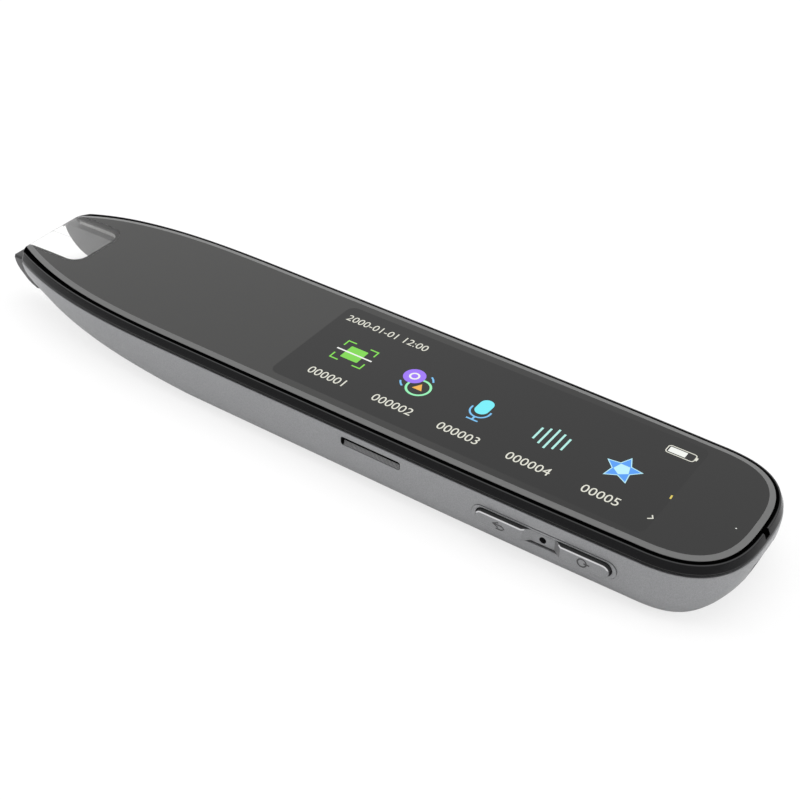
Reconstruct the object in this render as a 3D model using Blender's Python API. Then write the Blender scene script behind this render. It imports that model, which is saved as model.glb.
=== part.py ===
"""Scanning pen with a long glass screen, modelled piece by piece.

The pen lies on its back. +X runs from the scanning nose to the tail, the keys are on the -Y side and
+Z points up through the screen. The origin is on the flat of the underside, under the middle of the pen.
A place is given by its station, the distance behind the nose edge of the glass, by how far it lies across
the pen, and by its depth below the top of the glass. All lengths are in metres.
"""

import math

import bmesh
import bpy
from mathutils import Matrix, Vector

# Whole pen
glass_length = 0.1500
glass_half_width = 0.0144
pen_thickness = 0.0123

# Fits between pieces
seat_gap = 0.0003
solder_gap = 0.0001
slide_gap = 0.0002
cut_overrun = 0.0010

# Plan outline of the cover glass, which every other outline follows
nose_half_width = 0.0071
nose_flank_length = 0.0500
nose_flank_power = 3.3
nose_corner_radius = 0.0012
tail_taper = 0.0005
tail_taper_length = 0.0550
tail_corner_length = 0.0145
tail_corner_power = 2.8

# Cover glass
glass_thickness = 0.0008
glass_edge_round = 0.00055

# Bezel frame
groove_width = 0.00035
lip_width = 0.0005
lip_depth = 0.00045
nose_flare = 0.00047
nose_flare_length = 0.0360
flange_overhang = 0.0014
flange_top_depth = 0.00180
flange_bottom_depth = 0.00205
ledge_width = 0.0012
tongue_depth = 0.0032
tongue_thickness = 0.0008
window_half_width = 0.00605
window_length = 0.0133
window_corner_radius = 0.0028
tail_notch_width = 0.0015
tail_notch_length = 0.0009
nose_leg_round = 0.0026
nose_leg_end_share = 0.25

# Lower shell
shell_overhang = 0.00148
shell_wall = 0.0013
shell_floor = 0.0012
side_fillet = 0.0041
nose_lift = 0.0032
nose_lift_length = 0.0480
nose_lift_power = 1.2
nose_fillet_height = 0.0090
nose_narrowing_share = 0.35
nose_pull = 0.0082
nose_form_length = 0.0500
tail_fillet_height = 0.0097
tail_pull = 0.0080
tail_pull_length = 0.0160
nose_edge_station = 0.0012
nose_edge_slope = 0.34
mouth_half_width = 0.0078
cavity_station = 0.0152
key_recess_depth = 0.00025
key_recess_margin = 0.00045
key_recess_end_margin = 0.0009

# Scan tip, a horseshoe that slides back when the nose is pressed on paper
tip_travel = 0.0004
tip_reach = 0.0028
tip_inner_half_width = 0.0056
tip_outer_half_width = 0.0083
tip_top_depth = 0.0028
tip_curve_length = 0.0080
tip_curve_height = 0.0065
tip_band = 0.0024
tip_edge_round = 0.0004
tip_web_station = 0.0155
tip_web_length = 0.0018
tip_web_depth = 0.0077
tip_web_thickness = 0.0009
tip_ear_half_width = 0.0088
tip_post_half_width = 0.0008
tip_post_end_station = 0.0240

# Switch behind the scan tip
tip_switch_length = 0.0040
tip_switch_half_width = 0.0022
tip_switch_height = 0.0018
plunger_radius = 0.0006
plunger_reach = 0.0008
plunger_inside = 0.0010

# Optical tunnel, camera and lights
window_margin = 0.0009
hood_length = 0.0160
hood_front_half_width = 0.0053
hood_back_half_width = 0.0040
hood_height = 0.0045
hood_wall = 0.0007
lens_radius = 0.0013
lens_length = 0.0026
lens_front_share = 0.9
camera_length = 0.0035
camera_half_width = 0.0040
camera_height = 0.0044
light_board_length = 0.0030
light_board_half_width = 0.0038
light_board_thickness = 0.0004
lamp_length = 0.0016
lamp_width = 0.0012
lamp_thickness = 0.0006
lamp_spacing = 0.0048

# Display
display_station = 0.0630
display_from_tail = 0.0120
display_half_width = 0.0123
display_cell_thickness = 0.0008
backlight_thickness = 0.0008
charge_lamp_from_tail = 0.0030
charge_lamp_across = -0.0025
charge_lamp_radius = 0.0004
charge_lamp_length = 0.0005

# Main board and what is soldered to it
board_front_clearance = 0.0020
board_from_tail = 0.0038
board_depth = 0.0034
board_thickness = 0.0008
board_half_width = 0.0123
board_tail_half_width = 0.0075
board_shoulder_from_tail = 0.0120
processor_from_tail = 0.0345
processor_side = 0.0100
processor_thickness = 0.0010
memory_from_tail = 0.0200
memory_side = 0.0070
memory_thickness = 0.0008
shield_wall = 0.0003
shield_height = 0.0018
shield_margin = 0.0012
chip_across = 0.0030

# Battery
battery_front_clearance = 0.0050
battery_rear_clearance = 0.0030
battery_width = 0.0180
battery_thickness = 0.0048
battery_across = 0.0025
battery_edge_round = 0.0010
battery_edge_share = 0.25
battery_pad_thickness = 0.0003

# Screws that hold the board to the bosses of the shell
screw_from_board_edge = 0.0050
screw_from_tail = 0.0098
screw_front_across = 0.0098
screw_rear_across = 0.0080
screw_radius = 0.0006
screw_length = 0.0042
screw_head_radius = 0.0012
screw_head_height = 0.0007
boss_radius = 0.0018

# Speaker and its slot
speaker_from_tail = 0.0611
speaker_length = 0.0140
speaker_width = 0.0056
speaker_height = 0.0050
slot_length = 0.0120
slot_height = 0.0017
slot_corner_radius = 0.0005
slot_depth = 0.00425
mesh_thickness = 0.0002
mesh_recess = 0.0005

# Key bar and the switches behind it
key_from_tail = 0.02835
key_depth = 0.0062
key_length = 0.0238
key_height = 0.0024
key_proud = 0.0009
key_edge_round = 0.00025
key_edge_turn_share = 1 / 3
saddle_half_length = 0.0021
saddle_ramp = 0.0014
saddle_sink = 0.0001
key_flange_margin = 0.0005
key_flange_thickness = 0.0006
key_rock_play = 0.0004
key_lug_arm = 0.0095
key_lug_length = 0.0020
key_lug_height = 0.0012
key_lug_reach = 0.0003
sound_hole_radius = 0.0006
key_board_thickness = 0.0008
key_board_length = 0.0290
key_board_height = 0.0043
key_switch_length = 0.0032
key_switch_height = 0.0026
key_switch_thickness = 0.0013
key_button_radius = 0.0007
key_button_reach = 0.0003
fulcrum_length = 0.0048
fulcrum_ridge = 0.0004
microphone_length = 0.0030
microphone_height = 0.0022
microphone_thickness = 0.0010

# Charging socket
socket_half_width = 0.0045
socket_height = 0.0032
socket_length = 0.0072
socket_wall = 0.0003
socket_mouth_from_tail = 0.0004
socket_tongue_half_width = 0.0033
socket_tongue_thickness = 0.0007
socket_tongue_length = 0.0050

# Antenna strip on the far wall
antenna_clearance = 0.0180
antenna_length = 0.0220
antenna_height = 0.0045
antenna_thickness = 0.0002

# Facets
merge_share = 0.001
glass_edge_steps = 3
corner_steps = 5
flank_steps = 13
side_steps = 5
taper_steps = 5
tail_steps = 15
fillet_steps = 7
tip_steps = 10
round_sides = 20
smooth_angle = math.radians(32)

# Values that follow from the sizes above
pen_end_station = glass_length + shell_overhang
nose_edge_x = -(pen_end_station - tip_reach) / 2
shell_top_depth = flange_bottom_depth + seat_gap
ledge_top_depth = glass_thickness + seat_gap
ledge_bottom_depth = flange_bottom_depth
tail_corner_station = glass_length - tail_corner_length
tail_taper_start = glass_length - tail_taper_length
shell_half_width = glass_half_width + shell_overhang
inner_half_width = shell_half_width - shell_wall
board_bottom_depth = board_depth + board_thickness
backlight_depth = ledge_top_depth + display_cell_thickness + seat_gap
display_length = glass_length - display_from_tail - display_station
charge_lamp_station = glass_length - charge_lamp_from_tail
hood_station = window_length + window_margin
camera_station = hood_station + hood_length + seat_gap
board_station = camera_station + camera_length + board_front_clearance
board_end_station = glass_length - board_from_tail
board_shoulder_station = glass_length - board_shoulder_from_tail
screw_front_station = board_station + screw_from_board_edge
screw_rear_station = glass_length - screw_from_tail
processor_station = glass_length - processor_from_tail
memory_station = glass_length - memory_from_tail
shield_side = processor_side + 2 * (shield_margin + shield_wall)
battery_station = screw_front_station + battery_front_clearance
battery_end_station = processor_station - shield_side / 2 - battery_rear_clearance
speaker_station = glass_length - speaker_from_tail
key_station = glass_length - key_from_tail
socket_mouth_station = glass_length - socket_mouth_from_tail
antenna_station = nose_flank_length + antenna_clearance


def clear_scene():
    """Start from an empty scene."""
    for item in list(bpy.data.objects):
        bpy.data.objects.remove(item, do_unlink=True)


def make_material(name, colour, roughness, metallic=0.0, alpha=1.0):
    """One plain Principled material."""
    material = bpy.data.materials.new(name)
    material.use_nodes = True
    shader = material.node_tree.nodes["Principled BSDF"]
    shader.inputs["Base Color"].default_value = (*colour, 1.0)
    shader.inputs["Roughness"].default_value = roughness
    shader.inputs["Metallic"].default_value = metallic
    shader.inputs["Alpha"].default_value = alpha
    return material


def at(station, across=0.0, depth=0.0):
    """A place on the pen as a point in its frame."""
    return Vector((nose_edge_x + station, across, pen_thickness - depth))


def mesh_from(points, faces):
    """A mesh of the given points and faces, with doubles merged and faces pointing outwards."""
    shape = bmesh.new()
    corners = [shape.verts.new(point) for point in points]
    for face in faces:
        shape.faces.new([corners[index] for index in face])
    bmesh.ops.remove_doubles(shape, verts=shape.verts, dist=merge_distance())
    bmesh.ops.dissolve_degenerate(shape, edges=shape.edges, dist=merge_distance())
    bmesh.ops.recalc_face_normals(shape, faces=shape.faces)
    mesh = bpy.data.meshes.new("shape")
    shape.to_mesh(mesh)
    shape.free()
    return mesh


def merge_distance():
    """Points closer than this are one point."""
    return solder_gap * merge_share


def new_piece(name, mesh, material):
    """An object of the pen, shaded smooth over its round parts."""
    piece = bpy.data.objects.new(name, mesh)
    bpy.context.collection.objects.link(piece)
    mesh.materials.clear()
    mesh.materials.append(material)
    mesh.shade_smooth()
    mesh.set_sharp_from_angle(angle=smooth_angle)
    return piece


def hang_on(piece, point):
    """Put the origin of a moving piece on the line that it moves along or turns about."""
    piece.data.transform(Matrix.Translation(-point))
    piece.location = point
    return piece


def combine(mesh, tool_mesh, operation):
    """One mesh cut, joined or crossed by another with the exact Boolean."""
    body = bpy.data.objects.new("body", mesh)
    tool = bpy.data.objects.new("tool", tool_mesh)
    for item in (body, tool):
        bpy.context.collection.objects.link(item)
    modifier = body.modifiers.new("combine", "BOOLEAN")
    modifier.operation = operation
    modifier.solver = "EXACT"
    modifier.object = tool
    bpy.context.view_layer.update()
    result = bpy.data.meshes.new_from_object(body.evaluated_get(bpy.context.evaluated_depsgraph_get()))
    for item in (body, tool):
        bpy.data.objects.remove(item, do_unlink=True)
    return result


def cut(mesh, *tools):
    """A mesh with each tool taken out of it."""
    for tool in tools:
        mesh = combine(mesh, tool, "DIFFERENCE")
    return mesh


def join(mesh, *tools):
    """A mesh with each tool joined to it."""
    for tool in tools:
        mesh = combine(mesh, tool, "UNION")
    return mesh


def loft(rings, closed_ends=True):
    """Skin a row of rings that have the same number of points."""
    count = len(rings[0])
    points = [point for ring in rings for point in ring]
    faces = []
    for level in range(len(rings) - 1):
        low, high = level * count, (level + 1) * count
        for index in range(count):
            following = (index + 1) % count
            faces.append((low + index, low + following, high + following, high + index))
    if closed_ends:
        faces.append(tuple(range(count)))
        last = (len(rings) - 1) * count
        faces.append(tuple(last + index for index in range(count)))
    return mesh_from(points, faces)


def box(stations, acrosses, depths):
    """A block between two stations, two places across and two depths."""
    ring = lambda station: [
        at(station, across, depth)
        for across, depth in (
            (acrosses[0], depths[0]),
            (acrosses[1], depths[0]),
            (acrosses[1], depths[1]),
            (acrosses[0], depths[1]),
        )
    ]
    return loft([ring(stations[0]), ring(stations[1])])


def block(station, across, depth, length, width, height):
    """A block whose middle in plan is given, and which reaches down from its depth."""
    return box(
        (station - length / 2, station + length / 2),
        (across - width / 2, across + width / 2),
        (depth, depth + height),
    )


def plan_prism(outline, depths):
    """A prism of a plan outline, given as stations and places across, between two depths."""
    return loft([[at(station, across, depth) for station, across in outline] for depth in depths])


def side_prism(profile, acrosses):
    """A prism of a side view, given as stations and depths, between two places across."""
    return loft([[at(station, across, depth) for station, depth in profile] for across in acrosses])


def rod(start, end, radii, sides=round_sides):
    """A turned rod along a line, with one radius for each of its evenly spaced rings."""
    axis = (end - start).normalized()
    side = axis.orthogonal().normalized()
    other = axis.cross(side)
    rings = []
    for index, radius in enumerate(radii):
        middle = start.lerp(end, index / (len(radii) - 1))
        turns = [2 * math.pi * step / sides for step in range(sides)]
        rings.append([middle + radius * (math.cos(turn) * side + math.sin(turn) * other) for turn in turns])
    return loft(rings)


def spread(start, end, steps):
    """Evenly spaced values from the start up to, but not with, the end."""
    return [start + (end - start) * step / steps for step in range(steps)]


def flank_half_width(station):
    """Half the glass's width between its nose corner and its tail corner."""
    nose_share = max(0.0, 1 - station / nose_flank_length)
    taper_share = max(0.0, (station - tail_taper_start) / (tail_corner_station - tail_taper_start))
    narrowing = (glass_half_width - nose_half_width) * nose_share**nose_flank_power
    return glass_half_width - narrowing - tail_taper * taper_share**2


def glass_half_outline():
    """Stations and half widths of the glass, from the middle of its nose to the middle of its tail."""
    slope = (glass_half_width - nose_half_width) * nose_flank_power / nose_flank_length
    steepness = math.hypot(1, slope)
    centre_across = nose_half_width + nose_corner_radius * (slope - steepness)
    last_turn = math.pi / 2 + math.atan(slope)
    outline = [(0.0, 0.0)]
    for turn in spread(math.pi, last_turn, corner_steps):
        outline.append(
            (
                nose_corner_radius * (1 + math.cos(turn)),
                centre_across + nose_corner_radius * math.sin(turn),
            )
        )
    corner_end = nose_corner_radius * (1 + math.cos(last_turn))
    stations = spread(corner_end, nose_flank_length, flank_steps)
    stations += spread(nose_flank_length, tail_taper_start, side_steps)
    stations += spread(tail_taper_start, tail_corner_station, taper_steps)
    outline += [(station, flank_half_width(station)) for station in stations]
    corner_half_width = flank_half_width(tail_corner_station)
    for step in range(tail_steps + 1):
        turn = math.pi / 2 * step / tail_steps
        along = math.sin(turn) ** (2 / tail_corner_power)
        across = max(math.cos(turn), 0.0) ** (2 / tail_corner_power)
        outline.append((tail_corner_station + tail_corner_length * along, corner_half_width * across))
    outline[-1] = (glass_length, 0.0)
    return outline


def outline_normals(outline):
    """The outward direction at each point of a half outline."""
    mirrored_start = (outline[1][0], -outline[1][1])
    mirrored_end = (outline[-2][0], -outline[-2][1])
    padded = [mirrored_start] + outline + [mirrored_end]
    normals = []
    for before, after in zip(padded[:-2], padded[2:]):
        along, across = after[0] - before[0], after[1] - before[1]
        length = math.hypot(along, across)
        normals.append((-across / length, along / length))
    return normals


def flare(station, growth):
    """How much further the bezel's lip and the shell stand off the glass at the nose."""
    if growth < groove_width:
        return 0.0
    return nose_flare * max(0.0, 1 - station / nose_flare_length) ** 2


def grown_half_outline(growth):
    """The glass's half outline moved outwards, or inwards where the growth is negative."""
    outline = glass_half_outline()
    grown = []
    for (station, half_width), normal in zip(outline, outline_normals(outline)):
        reach = growth + flare(station, growth)
        grown.append((station + reach * normal[0], half_width + reach * normal[1]))
    return grown


def closed(half_outline):
    """A whole outline from a half outline: along the key side to the tail, and back along the far side."""
    key_side = [(station, -half_width) for station, half_width in half_outline]
    far_side = [(station, half_width) for station, half_width in reversed(half_outline) if half_width > 0]
    return key_side + far_side


def clipped_half_outline(growth, start, end=None):
    """The part of a grown half outline between two stations, with square ends."""
    outline = grown_half_outline(growth)
    widest = outline.index(max(outline, key=lambda point: point[1]))
    rising, falling = outline[: widest + 1], outline[widest:]
    inside = [point for point in outline if point[0] > start and (end is None or point[0] < end)]
    inside = [(start, 0.0), (start, width_between(rising, falling, start))] + inside
    if end is not None:
        inside += [(end, width_between(rising, falling, end)), (end, 0.0)]
    return inside


def width_between(rising, falling, station):
    """The half width of an outline at a station."""
    for (first, first_width), (second, second_width) in zip(rising + falling[1:], (rising + falling[1:])[1:]):
        if first <= station <= second and second > first:
            return first_width + (second_width - first_width) * (station - first) / (second - first)
    return falling[0][1]


def underside_depth(station):
    """How deep the underside lies: flat, and rising towards the nose."""
    share = max(0.0, 1 - station / nose_lift_length)
    return pen_thickness - nose_lift * share**nose_lift_power


def pulled_in(station):
    """Where the flat underside ends below a point of the rim, drawn in from the nose and the tail."""
    nose_share = max(0.0, 1 - station / nose_form_length)
    tail_share = max(0.0, 1 - (pen_end_station - station) / tail_pull_length)
    return station + nose_pull * nose_share**2 - tail_pull * tail_share**2


def hull_rings(growth, inset, top_depth, start=None):
    """Rings down the shell's wall and round its fillet, with the underside's edge last."""
    if start is None:
        rim = grown_half_outline(growth)
    else:
        rim = clipped_half_outline(growth, start)[1:]
    normals = outline_normals(rim)
    rim_half_width = glass_half_width + growth
    top, wall_ends, bottoms = [], [], []
    for (station, half_width), normal in zip(rim, normals):
        nose_share = max(0.0, 1 - station / nose_form_length) ** 2
        tail_share = max(normal[0], 0.0) ** 2
        foot_station = station if station == start else pulled_in(station)
        foot_share = 1 - (side_fillet - inset) / rim_half_width
        foot_share *= 1 - nose_narrowing_share * nose_share
        bottom_depth = underside_depth(foot_station) - inset
        height = side_fillet - inset
        height += (nose_fillet_height - side_fillet) * nose_share
        height += (tail_fillet_height - side_fillet) * tail_share
        height = min(height, bottom_depth - top_depth - solder_gap)
        top.append((station, half_width, top_depth))
        wall_ends.append((station, half_width, bottom_depth - height))
        bottoms.append((foot_station, half_width * foot_share, bottom_depth))
    rings = [top, wall_ends]
    for step in range(1, fillet_steps + 1):
        turn = math.pi / 2 * step / fillet_steps
        ring = []
        for edge, foot in zip(wall_ends, bottoms):
            out, down = math.cos(turn), math.sin(turn)
            ring.append(
                (
                    foot[0] + (edge[0] - foot[0]) * out,
                    foot[1] + (edge[1] - foot[1]) * out,
                    edge[2] + (foot[2] - edge[2]) * down,
                )
            )
        rings.append(ring)
    return rings


def hull_mesh(rings):
    """Close the shell's rings with a flat top and an underside that bends only along the pen."""
    count = len(rings[0])
    points, faces = [], []
    for ring in rings:
        points += [at(station, -half_width, depth) for station, half_width, depth in ring]
        points += [at(station, half_width, depth) for station, half_width, depth in ring]
    for level in range(len(rings) - 1):
        near, far = 2 * count * level, 2 * count * level + count
        below = 2 * count
        for index in range(count - 1):
            faces.append((near + index, near + index + 1, near + index + 1 + below, near + index + below))
            faces.append((far + index, far + index + below, far + index + 1 + below, far + index + 1))
        faces.append((near, near + below, far + below, far))
    for base in (0, 2 * count * (len(rings) - 1)):
        for index in range(count - 1):
            faces.append((base + index, base + index + 1, base + count + index + 1, base + count + index))
    return mesh_from_open_edges(points, faces)


def mesh_from_open_edges(points, faces):
    """A closed mesh of faces in which some corners meet on the middle plane."""
    shape = bmesh.new()
    corners = [shape.verts.new(point) for point in points]
    for face in faces:
        distinct = []
        for index in face:
            if not any((points[index] - points[other]).length < merge_distance() for other in distinct):
                distinct.append(index)
        if len(distinct) > 2:
            shape.faces.new([corners[index] for index in distinct])
    bmesh.ops.remove_doubles(shape, verts=shape.verts, dist=merge_distance())
    loose = [corner for corner in shape.verts if not corner.link_faces]
    bmesh.ops.delete(shape, geom=loose, context="VERTS")
    bmesh.ops.recalc_face_normals(shape, faces=shape.faces)
    mesh = bpy.data.meshes.new("shape")
    shape.to_mesh(mesh)
    shape.free()
    return mesh


def stadium(length, height, steps=corner_steps, corner_radius=None):
    """Half heights of a slot at places along it from its middle, with round ends or round corners."""
    radius = height / 2 if corner_radius is None else corner_radius
    straight = length / 2 - radius
    level = height / 2 - radius
    first = []
    for step in range(steps + 1):
        turn = math.pi / 2 * step / steps
        first.append((-straight - radius * math.cos(turn), level + radius * math.sin(turn)))
    return first + [(-along, half_height) for along, half_height in reversed(first)]


def side_stadium(station, depth, length, height, acrosses, corner_radius=None):
    """A prism across the pen with round ends or round corners."""
    shape = stadium(length, height, corner_radius=corner_radius)
    upper = [(station + along, depth - half_height) for along, half_height in shape]
    lower = [(station + along, depth + half_height) for along, half_height in shape if half_height > 0]
    return side_prism(upper + lower[::-1], acrosses)


def make_cover_glass(material):
    """The cover glass: a thin sheet with a rounded top edge all the way round."""
    rings = []
    for step in range(glass_edge_steps + 1):
        turn = math.pi / 2 * step / glass_edge_steps
        inset = glass_edge_round * (1 - math.sin(turn))
        depth = glass_edge_round * (1 - math.cos(turn))
        rings.append([at(s, a, depth) for s, a in closed(grown_half_outline(-inset))])
    rings.append([at(s, a, glass_thickness) for s, a in closed(grown_half_outline(0.0))])
    return new_piece("cover_glass", loft(rings), material)


def bezel_profile():
    """Growth and depth round the section of the bezel, from its top inner corner."""
    lip_outer = groove_width + lip_width
    tongue_outer = shell_overhang - shell_wall - seat_gap
    return [
        (-ledge_width, ledge_top_depth),
        (groove_width, ledge_top_depth),
        (groove_width, lip_depth),
        (lip_outer, lip_depth),
        (flange_overhang, flange_top_depth),
        (flange_overhang, flange_bottom_depth),
        (tongue_outer, flange_bottom_depth),
        (tongue_outer, tongue_depth),
        (tongue_outer - tongue_thickness, tongue_depth),
        (tongue_outer - tongue_thickness, ledge_bottom_depth),
        (-ledge_width, ledge_bottom_depth),
    ]


def with_stations(outline, stations):
    """A half outline with points added on its flank at the given stations."""
    for wanted in stations:
        place = next(index for index, point in enumerate(outline) if point[0] > wanted)
        (first, first_width), (second, second_width) = outline[place - 1], outline[place]
        width = first_width + (second_width - first_width) * (wanted - first) / (second - first)
        outline = outline[:place] + [(wanted, width)] + outline[place:]
    return outline


def nose_leg_share(distance):
    """How much of its width the bezel's rim has at a distance from the end of its nose leg."""
    share = min(distance / nose_leg_round, 1.0)
    return nose_leg_end_share + (1 - nose_leg_end_share) * share**2 * (3 - 2 * share)


def bezel_sweep():
    """The bezel's section carried from one nose corner round the tail to the other."""
    tongue_start = cavity_station + seat_gap
    round_stations = (nose_corner_radius, 2 * nose_corner_radius)
    whole = with_stations(glass_half_outline(), (*round_stations, tongue_start, tongue_start + seat_gap))
    stretch = list(zip(whole, outline_normals(whole)))[corner_steps - 2 :]
    sections = []
    distance = 0.0
    before = stretch[0][0]
    for (station, half_width), normal in stretch:
        distance += math.hypot(station - before[0], half_width - before[1])
        before = (station, half_width)
        section = []
        for growth, depth in bezel_profile():
            if station <= tongue_start:
                depth = min(depth, ledge_bottom_depth)
            reach = growth + flare(station, growth)
            if growth > 0:
                reach *= nose_leg_share(distance)
            section.append((station + reach * normal[0], half_width + reach * normal[1], depth))
        sections.append(section)
    near = [[at(s, -w, d) for s, w, d in section] for section in sections]
    far = [[at(s, w, d) for s, w, d in section] for section in reversed(sections[:-1])]
    return loft(near + far)


def make_bezel_frame(material):
    """The black frame: a stepped rim, and decks that carry the glass before and behind the display."""
    inside = -ledge_width / 2
    deck_top = ledge_top_depth + solder_gap
    deck_bottom = ledge_bottom_depth - solder_gap
    nose_deck = closed(clipped_half_outline(inside, nose_corner_radius, display_station - seat_gap))
    tail_deck = closed(clipped_half_outline(inside, display_station + display_length + seat_gap))
    frame = join(
        bezel_sweep(),
        plan_prism(nose_deck, (deck_top, deck_bottom)),
        plan_prism(tail_deck, (deck_top, deck_bottom)),
    )
    notch_station = glass_length + groove_width
    notch = box(
        (notch_station - cut_overrun / 2, notch_station + tail_notch_length),
        (-tail_notch_width / 2, tail_notch_width / 2),
        (0.0, flange_top_depth - solder_gap),
    )
    lamp_hole = rod(
        at(charge_lamp_station, charge_lamp_across, 0.0),
        at(charge_lamp_station, charge_lamp_across, board_depth),
        [charge_lamp_radius + slide_gap] * 2,
    )
    window = plan_prism(window_outline(), (0.0, ledge_bottom_depth + cut_overrun))
    return new_piece("bezel_frame", cut(frame, notch, lamp_hole, window), material)


def window_outline():
    """The reading window at the nose, open at the front, with round corners at its base."""
    corner_station = window_length - window_corner_radius
    corner_across = window_half_width - window_corner_radius
    half = [(-cut_overrun, window_half_width)]
    for step in range(corner_steps + 1):
        turn = math.pi / 2 * step / corner_steps
        half.append(
            (
                corner_station + window_corner_radius * math.sin(turn),
                corner_across + window_corner_radius * math.cos(turn),
            )
        )
    return [(station, -across) for station, across in half] + list(reversed(half))


def nose_edge(depth):
    """The station of the shell's raked nose edge at a depth."""
    return nose_edge_station + nose_edge_slope * (depth - shell_top_depth)


def nose_edge_profile():
    """Side view of what is cut away in front of the shell's raked nose edge."""
    front = -tip_reach - cut_overrun
    below = pen_thickness + cut_overrun
    return [
        (front, -cut_overrun),
        (nose_edge_station, -cut_overrun),
        (nose_edge_station, shell_top_depth),
        (nose_edge(below), below),
        (front, below),
    ]


def boss_places():
    """Where the four board screws stand."""
    return [
        (station, side * across)
        for station, across in (
            (screw_front_station, screw_front_across),
            (screw_rear_station, screw_rear_across),
        )
        for side in (-1, 1)
    ]


def socket_depths():
    """The top and the bottom of the charging socket."""
    top = board_bottom_depth + solder_gap
    return top, top + socket_height


def rounded_across(half_width, depths, stations, gap=0.0):
    """A flat tube along the pen with round sides, such as a charging socket."""
    top, bottom = depths[0] - gap, depths[1] + gap
    radius = (bottom - top) / 2
    middle = (top + bottom) / 2
    reach = half_width + gap - radius
    ring = []
    for side, first_turn in ((1, -math.pi / 2), (-1, math.pi / 2)):
        for step in range(corner_steps + 1):
            turn = first_turn + math.pi * step / corner_steps
            ring.append((side * reach + radius * math.cos(turn), middle + radius * math.sin(turn)))
    return loft([[at(station, across, depth) for across, depth in ring] for station in stations])


def make_lower_shell(material):
    """The painted shell: a hull with a raked open nose, a swept tail and four screw bosses."""
    shell = hull_mesh(hull_rings(shell_overhang, 0.0, shell_top_depth))
    cavity = hull_mesh(
        hull_rings(shell_overhang - shell_wall, shell_floor, shell_top_depth - cut_overrun, cavity_station)
    )
    front = -tip_reach - cut_overrun
    mouth = box(
        (front, cavity_station + cut_overrun),
        (-mouth_half_width, mouth_half_width),
        (-cut_overrun, pen_thickness + cut_overrun),
    )
    wide = glass_half_width + 2 * shell_overhang
    rake = side_prism(nose_edge_profile(), (-wide, wide))
    wall_outside = -shell_half_width - cut_overrun
    wall_inside = -inner_half_width + cut_overrun
    slot = side_stadium(
        speaker_station,
        slot_depth,
        slot_length,
        slot_height,
        (wall_outside, wall_inside),
        slot_corner_radius,
    )
    key_hole = side_stadium(
        key_station,
        key_depth,
        key_length + 2 * slide_gap,
        key_height + 2 * slide_gap,
        (wall_outside, wall_inside),
    )
    key_recess = side_stadium(
        key_station,
        key_depth,
        key_length + 2 * key_recess_end_margin,
        key_height + 2 * key_recess_margin,
        (wall_outside, key_recess_depth - shell_half_width),
    )
    port = rounded_across(
        socket_half_width,
        socket_depths(),
        (socket_mouth_station - socket_length / 2, pen_end_station + cut_overrun),
        slide_gap,
    )
    shell = cut(shell, cavity, mouth, rake, slot, lean(key_hole), lean(key_recess), port)
    for station, across in boss_places():
        floor = underside_depth(station) - shell_floor / 2
        top = board_bottom_depth + seat_gap
        shell = join(shell, rod(at(station, across, floor), at(station, across, top), [boss_radius] * 2))
        screw_end = board_depth - solder_gap + screw_length
        hole_end = screw_end + seat_gap
        shell = cut(
            shell,
            rod(
                at(station, across, top - cut_overrun),
                at(station, across, hole_end),
                [screw_radius + solder_gap] * 2,
            ),
        )
    return new_piece("lower_shell", shell, material)


def tip_front_edge():
    """Side view of the scan tip's curved front edge, from its top down to its sole."""
    points = []
    for step in range(tip_steps + 1):
        turn = math.pi / 2 * step / tip_steps
        points.append(
            (
                -tip_reach + tip_curve_length * (1 - math.cos(turn)),
                tip_top_depth + tip_curve_height * math.sin(turn),
            )
        )
    return points


def soft_flange(profile, side, inner):
    """One flange of the tip, whose outer edge is chamfered towards the middle of its side view."""
    middle_station = sum(station for station, _ in profile) / len(profile)
    middle_depth = sum(depth for _, depth in profile) / len(profile)
    rings = [[at(station, side * inner, depth) for station, depth in profile]]
    edge = tip_outer_half_width - tip_edge_round
    rings.append([at(station, side * edge, depth) for station, depth in profile])
    shrunk = []
    for station, depth in profile:
        reach = math.hypot(station - middle_station, depth - middle_depth)
        share = 1 - tip_edge_round / max(reach, 2 * tip_edge_round)
        shrunk.append(
            at(
                middle_station + (station - middle_station) * share,
                side * tip_outer_half_width,
                middle_depth + (depth - middle_depth) * share,
            )
        )
    return loft(rings + [shrunk])


def make_scan_tip(material):
    """The horseshoe round the mouth, its web behind the mouth, and the post that works the switch."""
    sole_end = tip_web_station + tip_web_length
    runner_outer = mouth_half_width - seat_gap
    front_edge = tip_front_edge()
    sole_depth = tip_top_depth + tip_curve_height
    web_bottom = tip_web_depth + tip_web_thickness
    runner_top = sole_depth - tip_band
    clearance = tip_travel + solder_gap
    flange = [point for point in front_edge if point[0] < nose_edge(point[1]) - clearance]
    flange.append((nose_edge(flange[-1][1]) - clearance, flange[-1][1]))
    flange.append((nose_edge(tip_top_depth) - clearance, tip_top_depth))
    sole_back = cavity_station - seat_gap
    runner = front_edge + [
        (sole_back, sole_depth),
        (sole_back + (sole_depth - web_bottom), web_bottom),
        (sole_end, web_bottom),
        (sole_end, runner_top),
        (cavity_station, runner_top),
        (cavity_station - tip_band, tip_top_depth),
    ]
    legs = []
    for side in (-1, 1):
        legs.append(side_prism(runner, (side * tip_inner_half_width, side * runner_outer)))
        legs.append(soft_flange(flange, side, runner_outer - solder_gap))
    web = box(
        (tip_web_station, sole_end),
        (-tip_ear_half_width, tip_ear_half_width),
        (tip_web_depth, web_bottom),
    )
    post = box(
        (sole_end - tip_web_length / 2, tip_post_end_station),
        (-tip_post_half_width, tip_post_half_width),
        (tip_web_depth + solder_gap, web_bottom - solder_gap),
    )
    tip = new_piece("scan_tip", join(web, *legs, post), material)
    return hang_on(tip, at(tip_post_end_station, 0.0, switch_axis_depth()))


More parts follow.
